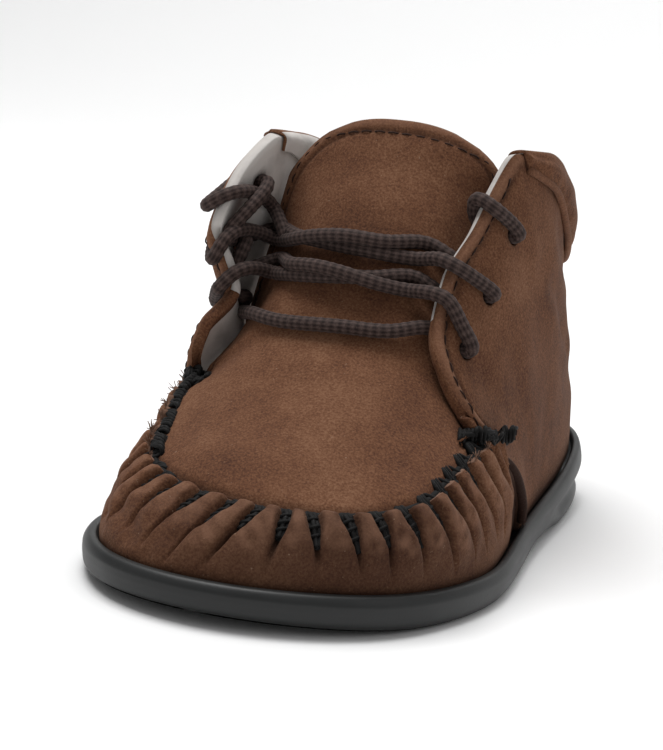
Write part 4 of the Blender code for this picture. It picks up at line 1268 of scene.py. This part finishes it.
@dataclass
class Collar:
    """Padded collar over the top edge, nubuck outside and lining within, with a piped seam under it."""

    around: int = 170
    section: int = 54
    thick: float = 2.4
    roll: float = 2.2
    inside: float = 7.0
    pucker: float = 0.22
    piping: float = 0.75

    def sections(self) -> tuple:
        """Closed sections round the collar and the line of its lower edge."""
        first, last = WALL.marks["lat_corner"], WALL.marks["med_corner"]
        around = np.linspace(0, 1, self.around)
        shares = first + (last - first) * (0.006 + 0.988 * around)
        reach = monotone([r[0] for r in PAD_REACH], [r[1] for r in PAD_REACH], around)
        fine = np.linspace(0, 1, 41)
        smooth = WALL.ribs(shares, fine)
        normal = grid_normals(smooth, False)
        step, back = SIZES.quarter_step + SIZES.gap, SIZES.leather + SIZES.gap
        made, seam, seam_out = [], [], []
        for k in range(self.around):
            col, nor, low = smooth[k], normal[k], reach[k]
            full = 0.45 + 0.55 * float(smooth_step(min(around[k], 1 - around[k]) / 0.12))
            length = np.linalg.norm(np.diff(col, axis=0), axis=1).sum()
            depth = 1 - self.inside * full / length
            lead = unit(col[-1] - col[-3])

            def at(u: float, lift: float, up: float = 0.0) -> np.ndarray:
                """Point up the rib, lifted off it and carried past its top."""
                return read(u, fine, col) + read(u, fine, nor) * lift + lead * up

            thick, roll = self.thick * full, self.roll * full
            knots = [at(low + (1 - low) * t, step) for t in (0.0, 0.5, 1.0)]
            knots += [at(1.0, step, SIZES.gap), at(1.0, -back, SIZES.gap)]
            knots += [at(depth, -back), at(depth, -back - 0.6), at((1 + depth) / 2, -back - 0.9 * full - 0.3)]
            knots.append(at(1.0, -back - 0.7 * full - 0.2, SIZES.gap))
            crown = [at(1.0, -back + 0.2, roll * 0.8), at(1.0, (step - back) / 2 + 0.4, roll)]
            crown.append(at(1.0, step + thick * 0.45, roll * 0.55))
            face = [(0.78, 0.92), (0.45, 1.0), (0.16, 0.72), (0.0, 0.30)]
            outer = knots[6:] + crown + [at(low + (1 - low) * t, step + thick * f) for t, f in face]
            run = walked(outer)
            shown = cubic(run, np.array(outer), np.linspace(0, run[-1], self.section))
            made.append(np.concatenate([np.array(knots[:6]), shown]))
            seam.append(at(low, step + 0.30 * thick))
            seam_out.append(at(low, step + 3.0) - at(low, step))
        return np.array(made), np.array(seam), unit(np.array(seam_out)), around

    def build(self, looks: Wardrobe) -> list:
        """Makes the pad and the piping under it."""
        sections, seam, out, around = self.sections()
        hidden = 6
        shown = sections[:, hidden:]
        middle = shown.mean(axis=1, keepdims=True)
        outward = unit(shown - middle)
        place = np.linspace(0, 1, self.section)[None, :]
        outer_side = smooth_step((place - 0.55) / 0.2)
        low_edge = smooth_step((place - 0.72) / 0.25)
        gather = np.sin(TAU * around * 62 + 1.5 * np.sin(around * 47))[:, None]
        shown = shown + outward * (
            self.pucker * gather * low_edge * outer_side + 0.20 * waves(shown, 9.0, 21) * outer_side
        )[..., None]
        corner = bell(around, 0.0, 0.05) + bell(around, 1.0, 0.05)
        wrinkle = np.sin(place * 26.0) * corner[:, None] * outer_side
        shown = shown + outward * (0.30 * wrinkle)[..., None]
        sections = np.concatenate([sections[:, :hidden], shown], axis=1)
        count = sections.shape[1]
        kinds = [1] * (hidden + int(self.section * 0.40)) + [0] * (count - hidden - int(self.section * 0.40))
        painted_shade = np.zeros(sections.shape[:2])
        # painted shade along the pad's lower edge, over the piping
        painted_shade[:, hidden:] = 0.5 * smooth_step((place - 0.95) / 0.05)
        mesh = Mesh()
        mesh.loft(sections, False, kinds, painted_shade)
        for base, turn in ((0, 1), ((len(sections) - 1) * count, -1)):
            mesh.faces.append(tuple(base + c for c in range(count))[::turn])
            mesh.kinds.append(0)
        pad = mesh.finish("padded_collar", [looks.nubuck, looks.lining], Slot.NUBUCK, "collar")
        pipe = Mesh()
        # the piping's constant lightening is a painted highlight
        pipe.tube(seam - out * 0.1, self.piping, 12, 0.12)
        return [pad, pipe.finish("collar_piping", [looks.nubuck], Slot.NUBUCK)]


@dataclass
class Lace:
    """One round braided lace: a bar through the lowest eyelets, then two crossings, its ends inside."""

    diameter: float = SIZES.lace
    sides: int = 20
    pitch: float = 0.28
    strand: float = 1.5
    # Inner end: millimetres from the flap's edge, height, lift off the tongue.
    inner_end: tuple = ((6.4, 0.775, 2.4), (8.8, 0.745, 1.9), (10.6, 0.715, 1.0))
    upper: Upper = None
    apron: Apron = None

    def __post_init__(self) -> None:
        """Finds the eyelets."""
        self.holes = eyelet_places(self.upper)

    def on_tongue(self, x: float, z: float, lift: float) -> np.ndarray:
        """Point over the tongue at x and height z, lifted off it."""
        grid, normal = self.apron.grid[30:], self.apron.normal[30:]
        points = np.array([read(x, row[:, 0], row) for row in grid])
        normals = np.array([read(x, row[:, 0], nor) for row, nor in zip(grid, normal)])
        k = int(np.clip(np.searchsorted(points[:, 2], z), 1, len(points) - 1))
        t = (z - points[k - 1, 2]) / (points[k, 2] - points[k - 1, 2])
        p = points[k - 1] + (points[k] - points[k - 1]) * t
        return p + unit(normals[k - 1] + (normals[k] - normals[k - 1]) * t) * lift

    def flap_edge(self, side: str, z: float) -> tuple:
        """Point of a quarter's front edge at a height, its outward normal, and the way out past the edge."""
        upper = self.upper
        n = upper.front
        if side == "lat":
            span = slice(n, n + upper.quarter_columns)
        else:
            span = slice(len(upper.shares) - upper.quarter_columns + 1, len(upper.shares))
        top = upper.smooth[span, -1]
        k = int(np.argmin(np.abs(top[:, 2] - z)))
        lead = unit(upper.smooth[span][k, -1] - upper.smooth[span][k, -5])
        return top[k], upper.normal[span][k, -1], lead

    def crossing(self, start: int, end: int, z_start: float, z_end: float, ride: float) -> list:
        """Points from outside one eyelet, over its flap's edge, across, under the other flap and out.

        Args:
            start: Number of the eyelet it comes from.
            end: Number of the eyelet it goes to.
            z_start: Height at which it passes the first flap's edge.
            z_end: Height at which it passes under the other.
            ride: How many diameters it rides up where it crosses another.

        Returns:
            Listed points.
        """
        r = self.diameter / 2
        side, hole, out = self.holes[start]
        edge, edge_out, lead = self.flap_edge(side, z_start)
        other, hole_2, out_2 = self.holes[end]
        edge_2, edge_out_2, lead_2 = self.flap_edge(other, z_end)
        skin = SIZES.quarter_step + r + 0.15
        points = [hole - out * 1.2, hole + out * (r * 0.75)]
        points.append(hole * 0.55 + (edge + edge_out * SIZES.quarter_step) * 0.45 + out * (r + 0.5))
        points.append(edge + edge_out * (skin + 0.1) - lead * 0.6)
        points.append(edge + edge_out * (skin * 0.25) + lead * (r + 0.5))
        x_1, x_2 = edge[0], edge_2[0]
        for t in (0.14, 0.30, 0.42, 0.5, 0.58, 0.70, 0.86):
            x = x_1 + (x_2 - x_1) * t
            z = z_start + (z_end - z_start) * t
            hump = math.exp(-(((t - 0.5) / 0.2) ** 2))
            sink = 0.9 * float(smooth_step((t - 0.66) / 0.24))
            points.append(self.on_tongue(x, z, r + 0.15 + ride * self.diameter * hump - sink))
        under = edge_2 - edge_out_2 * (SIZES.leather + r * 0.8) - lead_2 * 1.5
        points.append(under)
        points.append(hole_2 - out_2 * (SIZES.leather + SIZES.quarter_step + r * 1.1) + lead_2 * 1.0)
        points.append(hole_2 - out_2 * 1.2)
        return points

    def bar(self) -> list:
        """Points of the lowest bar, out of both lowest eyelets."""
        r = self.diameter / 2
        _, hole, out = self.holes[0]
        _, hole_2, out_2 = self.holes[3]
        points = [hole + out * (r * 0.75), hole - out * 1.4]
        points.append(hole - out * (SIZES.leather + SIZES.quarter_step + r))
        x_1, x_2 = self.flap_edge("lat", 0.56 * Z)[0][0], self.flap_edge("med", 0.53 * Z)[0][0]
        for t in (0.02, 0.16, 0.33, 0.5, 0.67, 0.84, 0.96):
            lift = r + 0.15 - 0.9 * float(smooth_step((0.16 - t) / 0.16))
            points.append(self.on_tongue(x_1 + (x_2 - x_1) * t, (0.566 - 0.036 * t) * Z, lift))
        points.append(hole_2 - out_2 * (SIZES.leather + SIZES.quarter_step + r))
        points += [hole_2 - out_2 * 1.4, hole_2 + out_2 * (r * 0.75)]
        return points

    def tail(self, eyelet: int, z: float) -> list:
        """Points of an end that comes out of a top eyelet, turns over the flap's edge and stops inside."""
        r = self.diameter / 2
        side, hole, out = self.holes[eyelet]
        edge, edge_out, lead = self.flap_edge(side, z)
        points = [
            hole - out * 1.4,
            hole + out * (r * 0.75),
            hole * 0.5 + (edge + edge_out * SIZES.quarter_step) * 0.5 + out * (r + 0.5),
            edge + edge_out * (SIZES.quarter_step + r + 0.1) - lead * 0.4,
            edge + edge_out * 0.1 + lead * (r + 0.4),
        ]
        if side == "lat":
            points.append(edge - edge_out * (SIZES.leather + r + 0.1) - lead * 0.5)
            points.append(hole * 0.6 + edge * 0.4 - out * (SIZES.leather + SIZES.quarter_step + r + 0.2))
        else:
            points += [self.on_tongue(edge[0] + x, h * Z, lift) for x, h, lift in self.inner_end]
        return points

    def braid(self, line: np.ndarray) -> tuple:
        """Radius of the braid's surface [point][side], and its lightness, a painted highlight on the crowns."""
        run = walked(line)
        turn = np.arange(self.sides) * TAU / self.sides
        a = 5 * turn[None, :] + TAU * run[:, None] / (2 * self.strand)
        b = 5 * turn[None, :] - TAU * run[:, None] / (2 * self.strand)
        crown = 0.5 + 0.5 * np.cos(a) * np.cos(b)
        return self.diameter / 2 * (0.80 + 0.10 * crown), crown

    def build(self, looks: Wardrobe) -> list:
        """Makes the strands as one mesh."""
        mesh = Mesh()
        routes = [
            self.bar(),
            self.crossing(0, 4, 0.645 * Z, 0.668 * Z, 0.95),
            self.crossing(3, 1, 0.625 * Z, 0.690 * Z, 0.02),
            self.crossing(1, 5, 0.718 * Z, 0.738 * Z, 0.02),
            self.crossing(4, 2, 0.700 * Z, 0.765 * Z, 0.95),
            self.tail(2, 0.86 * Z),
            self.tail(5, 0.80 * Z),
        ]
        for route in routes:
            line = line_through(route, self.pitch)
            radius, crown = self.braid(line)
            # the crowns' lightness goes in as painted highlight
            mesh.tube(line, radius, self.sides, crown.ravel())
        return [mesh.finish("lace", [looks.lace], Slot.CORD, "lace_bar", "lace_crossings")]


@dataclass
class Stitching:
    """All the sewing: the gathering thread, the bar tacks at the wings, and the edge stitches."""

    thread: float = 0.50
    # How far the thread reaches over the apron at each gutter, from the inner wing to the outer one.
    reach: tuple = ((0, 3.0), (5, 2.6), (8, 0.9), (16, 0.9), (19, 2.1), (24, 2.3))
    fine: float = 0.16
    stitch: float = 2.0
    space: float = 0.7
    bound_pleats: float = 6.2   # gathers at the inner wing bound with wraps
    wrap_pitch: float = 3.1
    # Points of a loop over a gutter: across it, along it, off the leather.
    loop: tuple = ((-1.25, -1.0, -0.5), (-0.5, -0.4, 0.3), (0.5, 0.4, 0.3), (1.25, 1.0, -0.5))
    tack_wraps: int = 15
    from_front: tuple = (0.25, -0.93, 0.26)     # way from which the tacks are laid on the leather
    tack_way: np.ndarray = field(default_factory=lambda: np.array([0.91, 0.42, 0.0]))
    fibres: int = 260
    upper: Upper = None
    apron: Apron = None

    def gathers(self, looks: Wardrobe) -> bpy.types.Object:
        """Thread sunk in each gutter, over the seam and into the apron."""
        mesh = Mesh()
        upper = self.upper
        rng = np.random.default_rng(4)
        under = []
        for k in range(1, SIZES.pleats):
            col = min(k * upper.per_pleat, upper.front - 1)
            column, normal = upper.outer[col], upper.normal[col]
            run = walked(column[::-1])
            beside = unit(upper.smooth[col + 3, -1] - upper.smooth[col - 3, -1])
            seam, inward = column[-1], self.inward(column[-1])
            under.append(upper.smooth[col, -1] + inward * 0.9 - Z_UP * 0.9)
            deep, reach = rng.uniform(4.6, 6.2), float(monotone(*zip(*self.reach), [k])[0])
            for strand, shift in enumerate((-0.72, 0.72, 0.0)):
                points = []
                for far in (deep, deep * 0.66, deep * 0.33, 0.5):
                    i = len(column) - 1 - int(np.argmin(np.abs(run - far)))
                    sway = shift * (0.3 if far == deep else 0.8 if far == 0.5 else 1.0)
                    points.append(column[i] + normal[i] * (0.40 + 0.22 * strand) + beside * sway)
                points.append(seam + normal[-1] * 0.75 + beside * shift + inward * 0.4)
                points.append(seam + inward * reach + beside * (shift * 0.5 + 0.35 * reach) + Z_UP * 0.45)
                points.append(seam + inward * (reach + 0.25) + beside * (0.35 * reach + 0.2) - Z_UP * 0.8)
                mesh.tube(line_through(points, 0.4), self.thread, 7)
            if reach > 1.5:
                back = [seam + inward * reach + beside * 0.35 * reach - Z_UP * 0.4]
                back.append(seam + inward * reach * 0.9 + beside * (0.35 * reach + 0.4) + Z_UP * 0.5)
                back.append(seam + inward * 0.3 + beside * 2.6 + normal[-1] * 0.9)
                back.append(seam - inward * 1.0 + beside * 2.9 + normal[-1] * 1.5)
                mesh.tube(line_through(back, 0.4), self.thread * 0.85, 7)
            for step in (1.0, 2.4, 3.8):
                i = len(column) - 1 - int(np.argmin(np.abs(run - step)))
                middle, lean = column[i] + normal[i] * 0.75, unit(column[i] - column[i - 2]) * 0.5
                loop = [middle + beside * a + lean * b + normal[i] * c for a, b, c in self.loop]
                mesh.tube(line_through(loop, 0.35), 0.36, 7)
        # dark cord under the seam: partly the seam's thread, partly a dark fill standing in for shade in the gaps
        # between gathers
        mesh.tube(line_through(under, 0.6), 0.85, 8, 0.2)
        self.wraps(mesh)
        return mesh.finish("gather_stitching", [looks.thread], Slot.CORD)

    def wraps(self, mesh: Mesh) -> None:
        """Bundles of thread that bind the raw edge to the apron at the inner wing.

        Args:
            mesh: Where they go.
        """
        upper = self.upper
        rng = np.random.default_rng(23)
        last = int(self.bound_pleats * upper.per_pleat)
        run = walked(upper.smooth[: last + 1, -1])
        for at in np.arange(1.0, run[-1], self.wrap_pitch):
            col = int(np.argmin(np.abs(run - at)))
            inward = self.inward(upper.outer[col, -1])
            beside = unit(upper.smooth[col + 3, -1] - upper.smooth[max(col - 3, 0), -1])
            for strand in range(4):
                along = beside * (0.50 * (strand - 1.5) + rng.uniform(-0.25, 0.25))
                lean = beside * rng.uniform(-0.2, 1.6)
                base = upper.smooth[col, -1] + along
                over = [(0.3, -1.0, -0.6), (0.1, -0.6, rng.uniform(0.5, 0.9)), (1.2, 0.4, 1.1)]
                over += [(2.5, 1.0, 0.7), (2.9, 1.0, -0.7)]
                route = [base + inward * a + lean * b + Z_UP * c for a, b, c in over]
                mesh.tube(line_through(route, 0.4), 0.40, 7)

    def inward(self, place: np.ndarray) -> np.ndarray:
        """Direction over the apron, away from the seam, at a place on the seam."""
        grid = self.apron.grid[: self.apron.stations_on_seam]
        best = None
        for j, step in ((-1, -6), (0, 6)):
            far = np.linalg.norm(grid[:, j] - place, axis=1)
            i = int(np.argmin(far))
            if best is None or far[i] < best[0]:
                best = (far[i], unit(grid[max(i, 2), j + step] - grid[max(i, 2), j]))
        return best[1]

    def run_stitches(self, mesh: Mesh, line: np.ndarray, out: np.ndarray, lift: float) -> None:
        """A row of separate stitches along a line.

        Args:
            mesh: Where they go.
            line: Points of the row.
            out: Outward direction at each point.
            lift: Height over the line.
        """
        run = walked(line)
        at = 0.3
        while at + self.stitch < run[-1]:
            s = np.linspace(at, at + self.stitch, 6)
            p, n = read(s, run, line), unit(read(s, run, out))
            arch = np.sin(np.linspace(0, np.pi, 6))[:, None]
            mesh.tube(p + n * (lift * arch - 0.12), self.fine, 6)
            at += self.stitch + self.space

    def edges(self, looks: Wardrobe) -> bpy.types.Object:
        """Stitches along the folded edges of the quarters, the wings' seams and the tongue."""
        mesh = Mesh()
        upper = self.upper
        n, q = upper.front, upper.quarter_columns
        skip, total = 4, len(upper.shares)
        for first, last in ((n, n + q), (total - q + 1, total)):
            cols = np.arange(first + skip, last - skip)
            far = np.linalg.norm(upper.smooth[cols] - upper.smooth[cols, -1:], axis=2)
            rows = np.argmin(np.abs(far - upper.stitch_in), axis=1)
            self.run_stitches(mesh, upper.outer[cols, rows], upper.normal[cols, rows], 0.34)
        for c in (n + 5, total - 6):
            self.run_stitches(mesh, upper.outer[c, 4:-8], upper.normal[c, 4:-8], 0.34)
        start, tip = self.apron.stations_on_seam + 14, len(self.apron.grid) - 6
        inset = self.inset_row(self.apron.grid, self.apron.stitch_in)
        way = [(i, inset[i][0]) for i in range(start, tip)]
        way += [(tip, j) for j in range(inset[tip][0], inset[tip][1] + 1)]
        way += [(i, inset[i][1]) for i in range(tip, start, -1)]
        at = tuple(np.array(way).T)
        self.run_stitches(mesh, self.apron.grid[at], self.apron.normal[at], 0.30)
        return mesh.finish("edge_stitching", [looks.seam_thread], Slot.CORD)

    def inset_row(self, grid: np.ndarray, inset: float) -> list:
        """Columns that lie one inset inside both edges, for each station."""
        found = []
        for row in grid:
            left = np.linalg.norm(row - row[0], axis=1)
            right = np.linalg.norm(row - row[-1], axis=1)
            found.append((int(np.argmax(left > inset)), int(len(row) - 1 - np.argmax(right[::-1] > inset))))
        return found

    def skin(self) -> BVHTree:
        """Search tree over the outside of the upper and the apron."""
        verts, faces = [], []
        for piece in (self.upper.piece, self.apron.piece):
            base = len(verts)
            verts += [Vector(np.array(v.co) / MM - SHIFT) for v in piece.data.vertices]
            faces += [tuple(base + k for k in face.vertices) for face in piece.data.polygons]
        return BVHTree.FromPolygons(verts, faces)

    def lay(self, tree: BVHTree, points: np.ndarray, lift: float) -> np.ndarray:
        """Points dropped on the skin from outside and lifted off it.

        Args:
            tree: The skin.
            points: Places near it.
            lift: Millimetres over it.

        Returns:
            The points.
        """
        set_down = []
        away = Vector(self.from_front)
        for p in points:
            found, _, _, _ = tree.ray_cast(Vector(p) + away * 8.0, -away, 14.0)
            set_down.append(np.array((found or Vector(p)) + away * lift))
        return np.array(set_down)

    def tacks(self, looks: Wardrobe) -> bpy.types.Object:
        """Heavy bar tacks that hold the wings at the ends of the gathers."""
        mesh = Mesh()
        tree = self.skin()
        rng = np.random.default_rng(12)
        last = len(self.upper.shares) - 1
        for wing, before, after, drop in ((self.upper.front, 6.2, 3.8, -1.6), (last, 0.8, 5.4, 1.4)):
            middle = self.upper.outer[wing, -2]
            at = np.linspace(-before, after, 7)
            fall = drop * (at - at[0]) / (before + after)
            line = middle + at[:, None] * self.tack_way - Z_UP * fall[:, None]
            for rise in (-0.6, 0.0, 0.6):
                points = self.lay(tree, line + Z_UP * (rise + rng.uniform(-0.15, 0.15)), 0.75)
                mesh.tube(line_through(points, 0.4), 0.46, 7)
            for k in range(self.tack_wraps):
                share = (k + 0.5) / self.tack_wraps + rng.uniform(-0.02, 0.02)
                p = read(share, np.linspace(0, 1, len(line)), line)
                lean = self.tack_way * rng.uniform(-0.6, 0.6)
                low, high = Z_UP * rng.uniform(1.1, 1.6), Z_UP * rng.uniform(1.0, 1.5)
                spots = (p - low - lean, p - Z_UP * 0.7, p + Z_UP * 0.7, p + high + lean)
                loop = [self.lay(tree, [q], lift)[0] for q, lift in zip(spots, (-0.2, 1.2, 1.2, -0.2))]
                mesh.tube(line_through(loop, 0.4), 0.38, 7)
        return mesh.finish("bar_tacks", [looks.thread], Slot.CORD)

    def frayed(self, looks: Wardrobe) -> bpy.types.Object:
        """Loose fibres along the raw edge at the inner wing, and a few at the outer one."""
        mesh = Mesh()
        rng = np.random.default_rng(19)
        upper = self.upper
        torn = int(upper.torn_pleats * upper.per_pleat)
        for k in range(self.fibres):
            span = (2, torn) if k % 5 else (upper.front - 3 * upper.per_pleat, upper.front)
            col = int(rng.integers(*span))
            base, out = upper.outer[col, -1], upper.normal[col, -1]
            lead = unit(upper.smooth[col, -1] - upper.smooth[col, -3])
            aim = unit(lead * rng.uniform(0.2, 1.0) + out * rng.uniform(0.2, 1.0) + rng.normal(size=3) * 0.5)
            bend = rng.normal(size=3) * 0.3
            length = rng.uniform(0.7, 1.9)
            points = [base - aim * 0.3, base + aim * length * 0.5 + bend * 0.4, base + aim * length + bend]
            mesh.tube(line_through(points, 0.5), rng.uniform(0.05, 0.09), 4)
        return mesh.finish("frayed_fibres", [looks.edge], Slot.NUBUCK)


@dataclass
class Studio:
    """Pale floor, soft light and the camera."""

    position: tuple = (118.6, -353.5, 101.5)
    aim: tuple = (-8.6, -4.4, 29.5)
    roll_deg: float = 5.7
    lens: float = 96.0
    sensor: float = 36.0
    paper: float = 2.5          # metres from the boot to the paper's edge
    sweep_from: float = 0.7     # metres behind the boot at which the paper starts to rise
    sweep: float = 0.6          # radius of its bend in metres

    def camera(self) -> None:
        """Places the camera, rolled about its own axis."""
        data = bpy.data.cameras.new("camera")
        data.lens, data.sensor_width = self.lens, self.sensor
        data.clip_start, data.clip_end = 0.01, 20.0
        eye = bpy.data.objects.new("camera", data)
        bpy.context.scene.collection.objects.link(eye)
        place, aim = (Vector((np.array(p) + SHIFT) * MM) for p in (self.position, self.aim))
        turn = (aim - place).to_track_quat("-Z", "Y").to_matrix().to_4x4()
        eye.matrix_world = Matrix.Translation(place) @ turn @ Matrix.Rotation(math.radians(self.roll_deg), 4, "Z")
        bpy.context.scene.camera = eye

    def floor(self) -> None:
        """A pale sheet of studio paper, flat under the boot and swept up behind it."""
        turn = np.linspace(0, math.pi / 2, 25)
        bend = [(self.sweep_from + self.sweep * math.sin(a), self.sweep * (1 - math.cos(a))) for a in turn]
        profile = [(-self.paper, 0.0)] + bend + [(bend[-1][0], self.paper)]
        data = bpy.data.meshes.new("studio_paper")
        verts = [(side * self.paper, y, z) for y, z in profile for side in (-1, 1)]
        faces = [(2 * i, 2 * i + 1, 2 * i + 3, 2 * i + 2) for i in range(len(profile) - 1)]
        data.from_pydata(verts, [], faces)
        data.shade_smooth()
        sheet = bpy.data.objects.new("studio_paper", data)
        bpy.context.scene.collection.objects.link(sheet)
        data.materials.append(StudioPaper().make())

    def light(self, name: str, place: tuple, size: float, power: float, colour: str = "#FFFFFF") -> None:
        """One square soft box aimed at the boot.

        Args:
            name: Its name.
            place: Where it stands, in metres.
            size: Side in metres.
            power: Watts.
            colour: sRGB hex colour.
        """
        data = bpy.data.lights.new(name, "AREA")
        data.size, data.energy, data.color = size, power, linear(colour)[:3]
        lamp = bpy.data.objects.new(name, data)
        lamp.location = place
        lamp.rotation_euler = (Vector((0, 0, 0.03)) - Vector(place)).to_track_quat("-Z", "Y").to_euler()
        bpy.context.scene.collection.objects.link(lamp)

    def build(self) -> None:
        """Sets floor, lights and surroundings."""
        self.floor()
        self.light("key", (-0.30, 0.10, 1.30), 0.8, 15.0)
        self.light("side", (1.2, -0.1, 0.9), 0.8, 1.6)
        self.light("back", (0.1, 0.8, 1.2), 0.8, 3.0)
        world = bpy.data.worlds.new("studio")
        world.use_nodes = True
        sky = world.node_tree.nodes["Background"]
        sky.inputs["Color"].default_value = linear("#FFFFFF")
        sky.inputs["Strength"].default_value = 0.30
        bpy.context.scene.world = world
        bpy.context.scene.view_settings.view_transform = "Standard"


def dress_insole(looks: Wardrobe) -> None:
    """Gives the footbed its lining."""
    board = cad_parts["insole"]
    board.data.materials.clear()
    board.data.materials.append(looks.lining)


def main() -> None:
    """Builds and dresses the whole boot."""
    logging.basicConfig(level=logging.INFO, format="%(name)s %(message)s")
    studio = Studio()
    studio.camera()
    looks = Wardrobe()
    CupSole().build(looks)
    dress_insole(looks)
    upper = Upper()
    upper.build(looks)
    apron = Apron()
    apron.build(looks, upper)
    Collar().build(looks)
    Lace(upper=upper, apron=apron).build(looks)
    sewing = Stitching(upper=upper, apron=apron)
    sewing.gathers(looks)
    sewing.edges(looks)
    sewing.tacks(looks)
    sewing.frayed(looks)
    studio.build()


if __name__ == "__main__":
    main()
